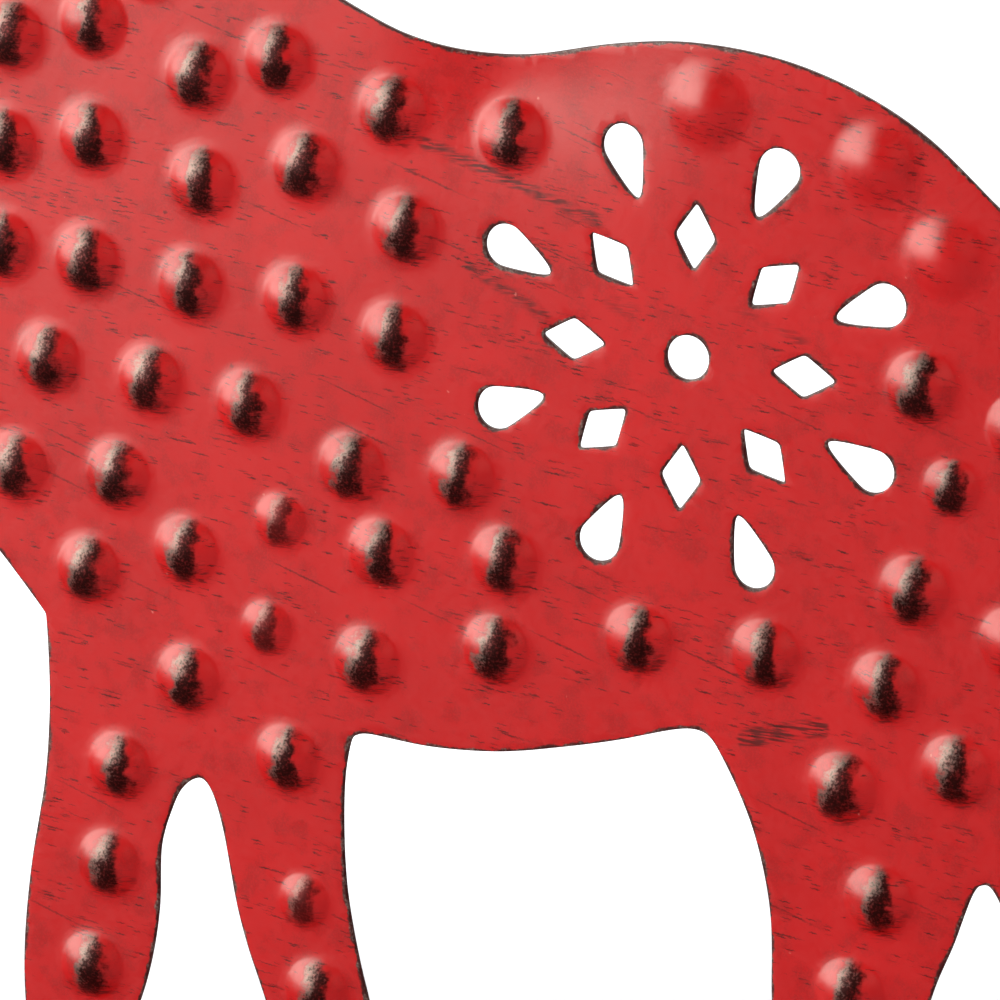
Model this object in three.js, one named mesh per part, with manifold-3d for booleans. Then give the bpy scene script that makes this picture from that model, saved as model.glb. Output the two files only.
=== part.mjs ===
// Metal moose, a standing folk ornament. The figure is cut and pressed from sheet iron, its two
// antlers and two ears are riveted to the head, and its folded hoof tabs are screwed to a base.
// Millimetres, +Z up. The moose faces -X and shows the raised side of its domes to -Y.
// The origin is the middle of the felt's underside, where the ornament stands.
import * as THREE from 'three';
import { mergeVertices } from 'three/addons/utils/BufferGeometryUtils.js';
import Module from 'manifold-3d';

// Driving dimensions. Places on the figure are [x, height above the base plate].
const SHEET_T = 0.8;
const FIGURE_X = 5; // how far the figure's own zero lies behind the middle of the base

const DOME_R = 5; // full pressed dome
const DOME_H = 2;
const SOFT_DOME_R = 4; // lightly pressed dome
const SOFT_DOME_H = 1.3;
const DOME_SHOULDER = [0.6, 0.68]; // share of the radius, share of the height
const DOME_SIDES = 10;

const ROSETTE_AT = [9.9, 149.8];
const ROSETTE_TURN = -3.3; // degrees
const ROSETTE_FOLD = 8;
const ROSETTE_HOLE_R = 3.18;
const LOZENGE_PITCH_R = 17;
const LOZENGE_L = 9.7;
const LOZENGE_W = 6.2;
const LOZENGE_CORNER = 0.8;
const DROP_PITCH_R = 30.25; // to the middle of the round end
const DROP_R = 3.12;
const DROP_TIP_R = 22.65; // from the rosette's middle to the narrow end
const DROP_TIP_W = 2;

const EYE_AT = [-128, 196.5];
const EYE_R = 2.2;
const NOSTRIL_AT = [-164.5, 180];
const NOSTRIL_R = 1.4;

const HOOF_L = 19; // sole, toe to heel
const HOOF_H = 10;
const TAB_INSET = 1.5; // from the hoof's end to the relief slot beside the tab
const RELIEF_W = 0.8;
const RELIEF_OVER = 0.8; // how far the slot runs above the bend
const BEND_R = 1.4; // outside of the bend between hoof and tab
const TAB_L = 14; // from the figure's front face
const SCREW_Y = 8.4; // screw axes behind the figure's middle plane

const ANTLER_AT = [-115.5, 205.5]; // middle of the root plate on the head
const ANTLER_T = 0.8;
const ANTLER_RIVET_PITCH = 9;
const ROOT_W = 17;
const ROOT_H = 9.5;
const ROOT_CORNER = 2.5;
const ROOT_FLARE = 3; // height over which the stem widens into the root plate
const CORNER_MID = 0.3; // share of a corner's radius that its middle lies in from the corner
const STEM_W = 9.5;
const TINE_TIP_W = 2.4;
const VALLEY_FROM = 0.62; // share of the way down from a tip where the rounded valley starts
const VALLEY_SPREAD = 0.09; // how far it is hollowed out, as a share of the tine's side
const ANTLER_BEND_FROM = 7; // above the root plate's middle
const ANTLER_BEND_R = 22;
const ANTLER_LEAN = 34; // degrees out of the upright
const ANTLER_DOME_R = 3.4;
const ANTLER_DOME_H = 1.2;
const ANTLER_DOMES = [ // on the flat blank, from the root plate's middle
  [1, 30], [-3.5, 44], [3, 55.5], [9.5, 42], [15.5, 60.5], [20.5, 50.5], [29, 61],
];

const EAR_AT = [-102.5, 201.5];
const EAR_T = 0.6;
const EAR_ROOT_R = 4.3;
const EAR_NECK_W = 5.5;
const EAR_L = 29; // rivet to tip, on the flat blank
const EAR_W = 12;
const EAR_TILT = 50; // degrees back from straight up
const EAR_BEND_FROM = 4.6;
const EAR_BEND_R = 6;
const EAR_LEAN = 30;
const EAR_CREASE = 20; // degrees that each half folds forward

const RIVET_R = 1.5;
const RIVET_HEAD_R = 2.7;
const RIVET_HEAD_H = 1.4;
const RIVET_TAIL_R = 2.4;
const RIVET_TAIL_H = 1;
const HOLE_GAP = 0.1; // round every rivet and screw

const FELT_T = 1.5;
const FELT_INSET = 2;
const BASE_L = 224;
const BASE_W = 80;
const BASE_T = 3;
const BASE_CORNER_R = 10;
const BASE_EDGE = 0.6; // small bevel round both faces

const SCREW_R = 1.5;
const SCREW_HEAD_R = 2.8;
const SCREW_HEAD_H = 1.65;
const SLOT_W = 0.8;
const SLOT_H = 0.7;
const SCREW_L = 8;
const WASHER_R = 3.5;
const WASHER_T = 0.5;
const NUT_AF = 5.5;
const NUT_H = 2.4;

const ROUND = 16; // sides of a turned piece
const BASE_TOP = FELT_T + BASE_T;
const FACE = SHEET_T / 2;

// Each leg: how far its toe lies from the figure's zero.
const TOES = {
  leading_fore: -101,
  trailing_fore: -60,
  leading_hind: 15,
  trailing_hind: 58.5,
};

// Full domes and soft domes on the figure.
const DOMES = [
  [-94, 186.5], [-81, 189.5], [-64.5, 183], [-52, 186.5], [-34.5, 180.5], [-17, 178.5],
  [12.5, 185], [37, 179], [47, 167], [62, 159], [-95.5, 171], [-81.5, 173], [-64, 168],
  [-47.8, 171.5], [-32.5, 164], [-96, 156], [-82.5, 155], [-66, 153], [-49.5, 152.5],
  [-34.2, 148.5], [-89, 140], [-72.5, 138.5], [-57, 136.5], [-94.5, 123.5], [-78, 124],
  [-41, 129], [-24, 129.5], [44, 149], [58.5, 144.5], [70, 146], [64, 130], [-83, 109.5],
  [-67.2, 114], [-36.5, 117], [-17.5, 118], [43.5, 120.5], [58, 115], [71.5, 118],
  [-38.8, 101], [-18.8, 105], [2.8, 109], [21.8, 109], [39.5, 106.5], [50, 96], [64, 101],
  [-67.2, 95], [-51.5, 85], [-78.5, 80.5], [33.5, 91.5], [39, 76], [71, 88], [70, 73],
  [-80.5, 65.5], [-83.5, 49.5], [35, 62], [76, 59], [-47, 50.5], [-72, 198.5], [-88, 199],
  [-110, 184], [-110, 167.5], [-109, 150.5], [-103.5, 134], [-125, 181], [-140, 180.5],
];
const SOFT_DOMES = [
  [-52.2, 120], [-54.5, 104], [-49, 64], [48.5, 135.5], [-153.5, 179.5],
  [-86.8, 34], [-45.8, 36], [30.5, 47], [30, 33], [76, 45], [74.3, 31],
];

const rad = THREE.MathUtils.degToRad;
const wasm = await Module();
wasm.setup();

// Outlines. A run of points is drawn as a smooth curve, and two runs meet in a corner.
function smooth(points, perSpan = 2) {
  if (points.length < 3) return points.map(([x, z]) => new THREE.Vector2(x, z));
  const curve = new THREE.SplineCurve(points.map(([x, z]) => new THREE.Vector2(x, z)));
  return curve.getPoints((points.length - 1) * perSpan);
}

function outlineOf(runs) {
  const all = runs.flatMap((run) => smooth(run));
  return all.filter((p, i) => p.distanceTo(all[(i + 1) % all.length]) > 0.02);
}

function circle([x, z], radius, sides = DOME_SIDES) {
  return Array.from({ length: sides }, (_, i) => {
    const angle = (i / sides) * Math.PI * 2;
    return new THREE.Vector2(x + radius * Math.cos(angle), z + radius * Math.sin(angle));
  });
}

// The sole between toe and heel, with a relief slot at each end of the folded tab.
function sole(toe) {
  const heel = toe + HOOF_L;
  const top = BEND_R + RELIEF_OVER;
  const front = toe + TAB_INSET;
  const rear = heel - TAB_INSET;
  return [
    [[toe, 0], [front, 0]],
    [[front, top], [front + RELIEF_W, top]],
    [[front + RELIEF_W, BEND_R], [rear - RELIEF_W, BEND_R]],
    [[rear - RELIEF_W, top], [rear, top]],
    [[rear, 0], [heel, 0]],
  ];
}

function hoofFront(toe) {
  return [[toe + 7.4, 18], [toe + 6.3, 14], [toe + 3.8, HOOF_H], [toe, 0]];
}

function hoofBack(toe) {
  const heel = toe + HOOF_L;
  return [[heel, 0], [heel + 0.9, 5], [heel + 0.8, HOOF_H], [heel + 2.2, 13.5], [heel + 1.2, 18]];
}

const fore = TOES.leading_fore;
const foreTwo = TOES.trailing_fore;
const hind = TOES.leading_hind;
const hindTwo = TOES.trailing_hind;

const FIGURE_RUNS = [
  // back, from the tail to the crown
  [[73.5, 153], [69, 160.5], [62, 168.4], [54, 174.7], [45, 182.7], [35, 188.4], [23, 192.3],
    [11, 193.5], [2.6, 192.9], [-5, 191.6], [-12, 190], [-18, 189.3], [-25, 189.6], [-33, 191.4],
    [-40, 194.4], [-48, 198.3], [-60, 204.6], [-72, 208.4], [-85, 207.6], [-96, 205],
    [-104, 208], [-111, 212.6], [-118, 213.2], [-124, 209]],
  // nose and lip
  [[-124, 209], [-132, 202.2], [-142, 196], [-152, 192], [-161, 190.2], [-168.5, 186],
    [-172, 178.5], [-171.2, 171], [-167.5, 166.8]],
  // mouth
  [[-167.5, 166.8], [-160, 168.6], [-152, 171.6]],
  [[-151.6, 170.5], [-159.5, 167.2], [-165, 164.4]],
  // jaw and bell
  [[-165, 164.4], [-161, 160.8], [-154, 160.8], [-146, 164.4], [-137, 167.2], [-130, 165.5],
    [-127.6, 157], [-126.4, 147], [-124, 139], [-120.8, 140.5], [-119.6, 147.5], [-118.2, 153]],
  // breast, down to the corner above the leg
  [[-118.2, 153], [-117, 141], [-112.5, 129], [-106, 118.9], [-97.9, 110.9], [-90.2, 102]],
  [[-90.2, 102], [-89.8, 90], [-90.8, 77], [-93, 66], [-94.6, 54], [-94.9, 44], [-94, 34],
    [-93.2, 25], ...hoofFront(fore)],
  ...sole(fore),
  [...hoofBack(fore), [-80.9, 27], [-79.4, 36], [-75.7, 45.5], [-73.6, 53], [-72.4, 61],
    [-72.2, 69], [-70.3, 75], [-68.5, 78.5], [-65.5, 80.4], [-63.4, 78], [-61.6, 71.5],
    [-60, 62.5], [-57.9, 55], [-55, 47], [-53.2, 38], [-52.3, 27], ...hoofFront(foreTwo)],
  ...sole(foreTwo),
  [...hoofBack(foreTwo), [-39.6, 27], [-38.4, 37], [-38, 46], [-40.2, 55], [-42.3, 66],
    [-42.8, 76], [-42.5, 84], [-41.5, 89]],
  // belly
  [[-41.5, 89], [-39.2, 90.3], [-30, 89.5], [-19, 90], [-10, 91.7], [0, 94.1], [8, 96.6],
    [12.6, 96.9], [15.4, 93.7], [20.2, 84], [23, 72], [23.2, 61], [23.8, 50], [24.2, 38],
    [23.4, 27], ...hoofFront(hind)],
  ...sole(hind),
  [...hoofBack(hind), [36.2, 27], [37.2, 38], [40, 47], [44.6, 56], [47.5, 65], [50, 71],
    [52.5, 78.5], [54.2, 80.2], [56, 79.2], [60, 71.5], [65.6, 63], [68.6, 53], [68.6, 40],
    [67.2, 27], ...hoofFront(hindTwo)],
  ...sole(hindTwo),
  [...hoofBack(hindTwo), [79.8, 27], [81.4, 38], [84.2, 48], [86.4, 57], [83, 65.5],
    [78.6, 75], [77.5, 86], [79, 98], [80.4, 112], [79.4, 126], [77.2, 138.5]],
  // tail
  [[77.2, 138.5], [79.6, 134], [82.6, 131], [85, 134], [84.4, 141], [80.6, 148.4], [73.5, 153]],
];

// Rosette: a round hole, a ring of lozenges and, half a step on, a ring of drops.
function lozenge(angle) {
  const half = [LOZENGE_L / 2, LOZENGE_W / 2];
  const tips = [[1, 0], [0, 1], [-1, 0], [0, -1]];
  const slope = LOZENGE_CORNER / Math.hypot(...half);
  const flat = tips.flatMap(([a, b]) => {
    const back = 1 - slope;
    const side = slope;
    const tip = 1 - slope * 0.38;
    return [
      [a * back + b * side, b * back - a * side],
      [a * tip, b * tip],
      [a * back - b * side, b * back + a * side],
    ];
  });
  return flat.map(([a, b]) => placed([LOZENGE_PITCH_R + a * half[0], b * half[1]], angle));
}

function drop(angle) {
  const turn = Math.acos((DROP_R - DROP_TIP_W / 2) / (DROP_PITCH_R - DROP_TIP_R));
  const round = 9;
  const outer = Array.from({ length: round }, (_, i) => {
    const a = (Math.PI - turn) * (1 - (2 * i) / (round - 1));
    return [DROP_PITCH_R + DROP_R * Math.cos(a), DROP_R * Math.sin(a)];
  });
  const tip = DROP_TIP_W / 2;
  const inner = [[DROP_TIP_R + tip, -tip], [DROP_TIP_R, 0], [DROP_TIP_R + tip, tip]];
  return [...outer, ...inner].map((p) => placed(p, angle));
}

function placed([r, s], angle) {
  const c = Math.cos(angle);
  const d = Math.sin(angle);
  return new THREE.Vector2(ROSETTE_AT[0] + r * c - s * d, ROSETTE_AT[1] + r * d + s * c);
}

function rosette() {
  const step = 360 / ROSETTE_FOLD;
  const turns = Array.from({ length: ROSETTE_FOLD }, (_, i) => ROSETTE_TURN + i * step);
  return [
    circle(ROSETTE_AT, ROSETTE_HOLE_R, 16),
    ...turns.map((turn) => lozenge(rad(turn))),
    ...turns.map((turn) => drop(rad(turn + step / 2))),
  ];
}

// Sheet work. The flat blank is cut along fold lines, filled with triangles and given a back,
// walls and domes, and then every point is carried to its place by the form.
function halfOf(polygon, [a, b, c], side) {
  const height = (p) => (a * p.x + b * p.y - c) * side;
  return polygon.flatMap((p, i) => {
    const q = polygon[(i + 1) % polygon.length];
    const [hp, hq] = [height(p), height(q)];
    const kept = hp >= 0 ? [p] : [];
    if (hp * hq < 0) kept.push(p.clone().lerp(q, hp / (hp - hq)));
    return kept;
  });
}

// A fold [a, b, c, above] runs along a x + b z = c and cuts only what lies above its last value.
function cellsOf(outline, folds) {
  const cells = folds.reduce((all, fold) => all.flatMap((cell) => {
    const above = fold[3] ?? -Infinity;
    if (cell.some((p) => p.y < above - 1e-6)) return [cell];
    return [halfOf(cell, fold, 1), halfOf(cell, fold, -1)].filter((part) => part.length > 2);
  }), [outline]);
  const corners = cells.flat();
  return cells.map((cell) => cell.flatMap((p, i) => {
    const q = cell[(i + 1) % cell.length];
    const length = p.distanceTo(q);
    const between = corners
      .map((r) => [r, r.distanceTo(p), r.distanceTo(q)])
      .filter(([, a, b]) => a > 1e-3 && b > 1e-3 && a + b - length < 1e-7)
      .sort((one, other) => one[1] - other[1])
      .filter(([, a], n, list) => n === 0 || a - list[n - 1][1] > 1e-3);
    return [p, ...between.map(([r]) => r)];
  }));
}

function inside(polygon, p) {
  return polygon.reduce((odd, a, i) => {
    const b = polygon[(i + 1) % polygon.length];
    const crosses = (a.y > p.y) !== (b.y > p.y);
    return crosses && p.x < ((b.x - a.x) * (p.y - a.y)) / (b.y - a.y) + a.x ? !odd : odd;
  }, false);
}

const flatForm = (x, out, z) => [x, -out, z];

function sheetWork({ outline, holes = [], domes = [], folds = [], thickness, form = flatForm }) {
  const flat = [];
  const keys = new Map();
  const indexOf = (p) => {
    const key = `${Math.round(p.x * 1e4)},${Math.round(p.y * 1e4)}`;
    if (!keys.has(key)) keys.set(key, flat.push(p) - 1);
    return keys.get(key);
  };
  const faces = [];
  const rims = domes.map((dome) => circle(dome.at, dome.radius));
  const openings = [...holes, ...rims];
  cellsOf(outline, folds).forEach((cell) => {
    const own = openings.filter((ring) => inside(cell, ring[0]));
    const points = [cell, ...own].flat();
    THREE.ShapeUtils.triangulateShape(cell, own).forEach((tri) => {
      const [a, b, c] = tri.map((i) => points[i]);
      const area = (b.x - a.x) * (c.y - a.y) - (c.x - a.x) * (b.y - a.y);
      if (Math.abs(area) < 1e-9) return;
      faces.push((area > 0 ? [a, b, c] : [a, c, b]).map(indexOf));
    });
  });
  const rimEdges = new Set(rims.flatMap((rim) => rim.map((p, i) => (
    `${indexOf(rim[(i + 1) % rim.length])}-${indexOf(p)}`
  ))));
  const edges = new Set(faces.flatMap(([a, b, c]) => [`${a}-${b}`, `${b}-${c}`, `${c}-${a}`]));
  const places = [];
  const front = flat.map((p) => places.push(form(p.x, thickness, p.y)) - 1);
  const back = flat.map((p) => places.push(form(p.x, 0, p.y)) - 1);
  const triangles = faces.flatMap(([a, b, c]) => [
    [front[a], front[b], front[c]], [back[a], back[c], back[b]],
  ]);
  edges.forEach((edge) => {
    const [a, b] = edge.split('-').map(Number);
    if (edges.has(`${b}-${a}`) || rimEdges.has(edge)) return;
    triangles.push([front[b], front[a], back[a]], [front[b], back[a], back[b]]);
  });
  const [share, rise] = DOME_SHOULDER;
  domes.forEach(({ at, radius, height }, n) => {
    const shoulder = circle(at, radius * share);
    [[front, thickness, 1], [back, 0, -1]].forEach(([level, out, side]) => {
      const rim = rims[n].map((p) => level[indexOf(p)]);
      const ring = shoulder.map((p) => places.push(form(p.x, out + height * rise, p.y)) - 1);
      const top = places.push(form(at[0], out + height, at[1])) - 1;
      rim.forEach((a, i) => {
        const j = (i + 1) % rim.length;
        const fan = [[a, rim[j], ring[j]], [a, ring[j], ring[i]], [ring[i], ring[j], top]];
        triangles.push(...(side > 0 ? fan : fan.map(([p, q, r]) => [p, r, q])));
      });
    });
  });
  const geometry = new THREE.BufferGeometry();
  geometry.setAttribute('position', new THREE.Float32BufferAttribute(places.flat(), 3));
  geometry.setIndex(triangles.flat());
  return geometry;
}

// A bend about a level line: the sheet above it leans out of the upright.
function bentForm(from, radius, lean, inner = flatForm) {
  return (x, out, z) => {
    const [px, py, pz] = inner(x, out, z);
    const high = pz - from;
    if (high <= 0) return [px, py, pz];
    const turn = Math.min(high / radius, lean);
    const beyond = high - radius * turn;
    const arm = radius + py;
    return [
      px,
      -(radius - arm * Math.cos(turn) + beyond * Math.sin(turn)),
      from + arm * Math.sin(turn) + beyond * Math.cos(turn),
    ];
  };
}

const bendFolds = (from, radius, lean, steps) => Array.from({ length: steps + 1 }, (_, i) => (
  [0, 1, from + (radius * lean * i) / steps]
));

// Solids.
function solid(geometry) {
  const bare = geometry.clone();
  bare.deleteAttribute('normal');
  bare.deleteAttribute('uv');
  const merged = mergeVertices(bare, 1e-4);
  return new wasm.Manifold(new wasm.Mesh({
    numProp: 3,
    vertProperties: merged.attributes.position.array,
    triVerts: new Uint32Array(merged.index.array),
  }));
}

function geometryOf(body) {
  const mesh = body.getMesh();
  const geometry = new THREE.BufferGeometry();
  geometry.setAttribute('position', new THREE.BufferAttribute(mesh.vertProperties, 3));
  geometry.setIndex(new THREE.BufferAttribute(mesh.triVerts, 1));
  return geometry;
}

function turned(profile, sides = ROUND) {
  return new THREE.LatheGeometry(profile.map(([r, y]) => new THREE.Vector2(r, y)), sides);
}

const upright = (geometry) => geometry.rotateX(Math.PI / 2);

function mirrored(geometry) {
  const copy = geometry.clone().scale(1, -1, 1);
  const index = copy.index.array;
  for (let i = 0; i < index.length; i += 3) {
    [index[i], index[i + 1]] = [index[i + 1], index[i]];
  }
  return copy;
}

// Figure.
function tab(toe) {
  const width = HOOF_L - 2 * (TAB_INSET + RELIEF_W);
  const shape = new THREE.Shape();
  const overlap = 2;
  shape.moveTo(-FACE, BEND_R + overlap);
  shape.lineTo(-FACE, BEND_R);
  shape.absarc(-FACE + BEND_R, BEND_R, BEND_R, Math.PI, Math.PI * 1.5);
  shape.lineTo(TAB_L - FACE, 0);
  shape.lineTo(TAB_L - FACE, SHEET_T);
  shape.lineTo(BEND_R - FACE, SHEET_T);
  shape.absarc(-FACE + BEND_R, BEND_R, BEND_R - SHEET_T, Math.PI * 1.5, Math.PI, true);
  shape.lineTo(FACE, BEND_R + overlap);
  const strip = new THREE.ExtrudeGeometry(shape, {
    depth: width, bevelEnabled: false, curveSegments: 4,
  });
  strip.rotateX(Math.PI / 2).rotateZ(Math.PI / 2).translate(toe + (HOOF_L - width) / 2, 0, 0);
  const drill = upright(turned([[0, -1], [SCREW_R + HOLE_GAP, -1], [SCREW_R + HOLE_GAP, 2], [0, 2]]));
  return solid(strip).subtract(solid(drill.translate(toe + HOOF_L / 2, SCREW_Y, SHEET_T)));
}

const antlerRivets = [-1, 1].map((side) => [
  ANTLER_AT[0] + (side * ANTLER_RIVET_PITCH) / 2, ANTLER_AT[1],
]);
const rivetHole = (at) => circle(at, RIVET_R + HOLE_GAP, ROUND);

function figure() {
  const plate = sheetWork({
    outline: outlineOf(FIGURE_RUNS),
    holes: [
      ...rosette(),
      circle(EYE_AT, EYE_R, 14),
      circle(NOSTRIL_AT, NOSTRIL_R, 10),
      ...antlerRivets.map(rivetHole),
      rivetHole(EAR_AT),
    ],
    domes: [
      ...DOMES.map((at) => ({ at, radius: DOME_R, height: DOME_H })),
      ...SOFT_DOMES.map((at) => ({ at, radius: SOFT_DOME_R, height: SOFT_DOME_H })),
    ],
    thickness: SHEET_T,
  }).translate(0, FACE, 0);
  const tabs = Object.values(TOES).map(tab);
  return geometryOf(tabs.reduce((all, one) => all.add(one), solid(plate)));
}

// Antlers and ears, drawn flat about their own rivets.
// Each tine has a tip and the valley behind it, from the brow to the rear of the palm.
const TINE_TIPS = [
  [-32, 36], [-31.5, 54], [-23.5, 70], [-9.5, 81.5], [7, 88], [24.5, 89], [41, 84], [55, 73.5],
];
const TINE_VALLEYS = [
  [-19, 38], [-18, 52.5], [-11, 64.5], [0.5, 72], [13.5, 76.5], [27, 77], [39, 72],
];
const STEM_FRONT = [[-STEM_W / 2, 12], [-6.6, 19.5], [-13, 25]];
const PALM_REAR = [[44.5, 63.5], [34.5, 53.5], [24, 42], [15, 31.5], [7.5, 21], [STEM_W / 2, 12]];

function between([x, z], [u, w], share, bulge = 0) {
  const [dx, dz] = [u - x, w - z];
  return [x + dx * share - dz * bulge, z + dz * share + dx * bulge];
}

// The flat tip of a tine runs across the line from the tine's root to its tip.
function tipEnds(tip, root) {
  const length = Math.hypot(tip[0] - root[0], tip[1] - root[1]);
  const across = [(tip[1] - root[1]) / length, -(tip[0] - root[0]) / length];
  return [-1, 1].map((side) => tip.map((v, i) => v + (side * across[i] * TINE_TIP_W) / 2));
}

function palmRuns() {
  const roots = TINE_TIPS.map((_, i) => between(
    TINE_VALLEYS[i - 1] ?? STEM_FRONT[2], TINE_VALLEYS[i] ?? PALM_REAR[0], 0.5,
  ));
  const ends = TINE_TIPS.map((tip, i) => tipEnds(tip, roots[i]));
  const bends = TINE_VALLEYS.map((valley, i) => {
    const [from, to] = [ends[i][1], ends[i + 1][0]];
    const down = between(from, valley, VALLEY_FROM, -VALLEY_SPREAD);
    const up = between(valley, to, 1 - VALLEY_FROM, -VALLEY_SPREAD);
    return [from, down, valley, up, to];
  });
  const last = ends.length - 1;
  return [
    [[-STEM_W / 2, ROOT_H / 2 + ROOT_FLARE], ...STEM_FRONT, ends[0][0]],
    ...bends,
    [ends[last][1], ...PALM_REAR, [STEM_W / 2, ROOT_H / 2 + ROOT_FLARE]],
  ];
}

function antler() {
  const [w, h, c, s] = [ROOT_W / 2, ROOT_H / 2, ROOT_CORNER, STEM_W / 2];
  const [f, m] = [ROOT_FLARE, ROOT_CORNER * CORNER_MID];
  const outline = outlineOf([
    [[s, h + f], [s + f / 3, h + f / 5], [w - c, h]],
    [[w - c, h], [w - m, h - m], [w, h - c]],
    [[w, c - h], [w - m, m - h], [w - c, -h]],
    [[c - w, -h], [m - w, m - h], [-w, c - h]],
    [[-w, h - c], [m - w, h - m], [c - w, h]],
    [[c - w, h], [-s - f / 3, h + f / 5], [-s, h + f]],
    ...palmRuns(),
  ]);
  const lean = rad(ANTLER_LEAN);
  return sheetWork({
    outline,
    holes: [-1, 1].map((side) => rivetHole([(side * ANTLER_RIVET_PITCH) / 2, 0])),
    domes: ANTLER_DOMES.map((at) => ({ at, radius: ANTLER_DOME_R, height: ANTLER_DOME_H })),
    folds: bendFolds(ANTLER_BEND_FROM, ANTLER_BEND_R, lean, 5),
    thickness: ANTLER_T,
    form: bentForm(ANTLER_BEND_FROM, ANTLER_BEND_R, lean),
  }).translate(ANTLER_AT[0], -FACE, ANTLER_AT[1]);
}

function ear() {
  const [r, n, w] = [EAR_ROOT_R, EAR_NECK_W / 2, EAR_W / 2];
  const side = (s) => [
    [s * r, 0], [s * (n + 0.6), 3.9], [s * (n + 0.3), 6.6], [s * w, 14], [s * w * 0.82, 20.5],
    [0, EAR_L],
  ];
  const outline = outlineOf([
    side(1),
    side(-1).reverse(),
    [[-r, 0], [-r * 0.7, -r * 0.7], [0, -r], [r * 0.7, -r * 0.7], [r, 0]],
  ]);
  const lean = rad(EAR_LEAN);
  const crease = rad(EAR_CREASE);
  const from = EAR_BEND_FROM + EAR_BEND_R * lean;
  const creased = (x, out, z) => {
    const share = THREE.MathUtils.clamp((z - from) / (EAR_L / 3), 0, 1) * Math.sin(crease);
    return [x * Math.sqrt(1 - share * share), -out - Math.abs(x) * share, z];
  };
  const bends = bendFolds(EAR_BEND_FROM, EAR_BEND_R, lean, 3);
  const cupped = [[0, 1, from + EAR_L / 6], [0, 1, from + EAR_L / 3], [1, 0, 0, from]];
  return sheetWork({
    outline,
    holes: [rivetHole([0, 0])],
    folds: [...bends, ...cupped],
    thickness: EAR_T,
    form: bentForm(EAR_BEND_FROM, EAR_BEND_R, lean, creased),
  }).rotateY(rad(EAR_TILT)).translate(EAR_AT[0], -FACE, EAR_AT[1]);
}

// Rivets lie along Y, with the domed head to the front.
function rivet(wing) {
  const end = FACE + wing;
  return turned([
    [0, -end - RIVET_HEAD_H],
    [RIVET_HEAD_R * 0.6, -end - RIVET_HEAD_H * 0.8],
    [RIVET_HEAD_R * 0.93, -end - RIVET_HEAD_H * 0.35],
    [RIVET_HEAD_R, -end],
    [RIVET_R, -end],
    [RIVET_R, end],
    [RIVET_TAIL_R, end],
    [RIVET_TAIL_R * 0.85, end + RIVET_TAIL_H * 0.8],
    [0, end + RIVET_TAIL_H],
  ]);
}

// Base, felt and fasteners. They are turned and extruded upright.
function slab(length, width, thickness, corner, edge) {
  const [l, w, r] = [length / 2 - edge, width / 2 - edge, corner - edge];
  const shape = new THREE.Shape();
  shape.moveTo(-l + r, -w);
  shape.lineTo(l - r, -w);
  shape.absarc(l - r, -w + r, r, -Math.PI / 2, 0);
  shape.lineTo(l, w - r);
  shape.absarc(l - r, w - r, r, 0, Math.PI / 2);
  shape.lineTo(-l + r, w);
  shape.absarc(-l + r, w - r, r, Math.PI / 2, Math.PI);
  shape.lineTo(-l, -w + r);
  shape.absarc(-l + r, -w + r, r, Math.PI, Math.PI * 1.5);
  const bevel = { bevelEnabled: edge > 0, bevelSize: edge, bevelThickness: edge, bevelSegments: 1 };
  const depth = thickness - 2 * edge;
  return new THREE.ExtrudeGeometry(shape, { depth, curveSegments: 6, ...bevel }).translate(0, 0, edge);
}

const screwAt = (toe) => [toe + HOOF_L / 2 + FIGURE_X, SCREW_Y];

function base() {
  const plate = solid(slab(BASE_L, BASE_W, BASE_T, BASE_CORNER_R, BASE_EDGE));
  const grow = HOLE_GAP;
  const drill = upright(turned([
    [0, -1], [SCREW_HEAD_R + grow, -1], [SCREW_HEAD_R + grow, 0.2],
    [SCREW_R + grow, SCREW_HEAD_H + 0.1], [SCREW_R + grow, BASE_T + 1], [0, BASE_T + 1],
  ]));
  return geometryOf(Object.values(TOES).reduce((body, toe) => (
    body.subtract(solid(drill.clone().translate(...screwAt(toe), 0)))
  ), plate));
}

function screw() {
  const body = solid(upright(turned([
    [0, 0], [SCREW_HEAD_R, 0], [SCREW_HEAD_R, 0.2], [SCREW_R, SCREW_HEAD_H],
    [SCREW_R, SCREW_L - 0.4], [SCREW_R - 0.4, SCREW_L], [0, SCREW_L],
  ])));
  const slot = new THREE.BoxGeometry(SCREW_HEAD_R * 3, SLOT_W, SLOT_H * 2);
  return geometryOf(body.subtract(solid(slot)));
}

function washer() {
  const [bore, rim] = [SCREW_R + HOLE_GAP, WASHER_R];
  return upright(turned([[bore, 0], [rim, 0], [rim, WASHER_T], [bore, WASHER_T], [bore, 0]]));
}

function nut() {
  const corner = NUT_AF / 2 / Math.cos(Math.PI / 6);
  const bore = SCREW_R + HOLE_GAP;
  const hexagon = solid(upright(turned([[0, 0], [corner, 0], [corner, NUT_H], [0, NUT_H]], 6)));
  const flat = NUT_AF / 2;
  const cone = NUT_H + (corner - flat) * 0.55;
  const lathe = solid(upright(turned([
    [0, -1], [corner + 1, -1], [corner + 1, NUT_H - (corner + 1 - flat) * 0.55],
    [flat, NUT_H], [flat - 0.5, cone], [0, cone],
  ], 24)));
  const hole = solid(upright(turned([[0, -1], [bore, -1], [bore, NUT_H + 1], [0, NUT_H + 1]])));
  return geometryOf(hexagon.intersect(lathe).subtract(hole));
}

// Assembly.
const finish = (color, roughness, metalness) => () => (
  new THREE.MeshStandardMaterial({ color, roughness, metalness })
);
const wornRed = finish('#b8292a', 0.5, 0.15);
const baseRed = finish('#a32226', 0.55, 0.15);
const blackFelt = finish('#2b2829', 0.95, 0);
const iron = finish('#4a4644', 0.5, 0.7);
const zinc = finish('#b4b6b3', 0.35, 0.85);

const group = new THREE.Group();
group.name = 'metal_moose';

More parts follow.
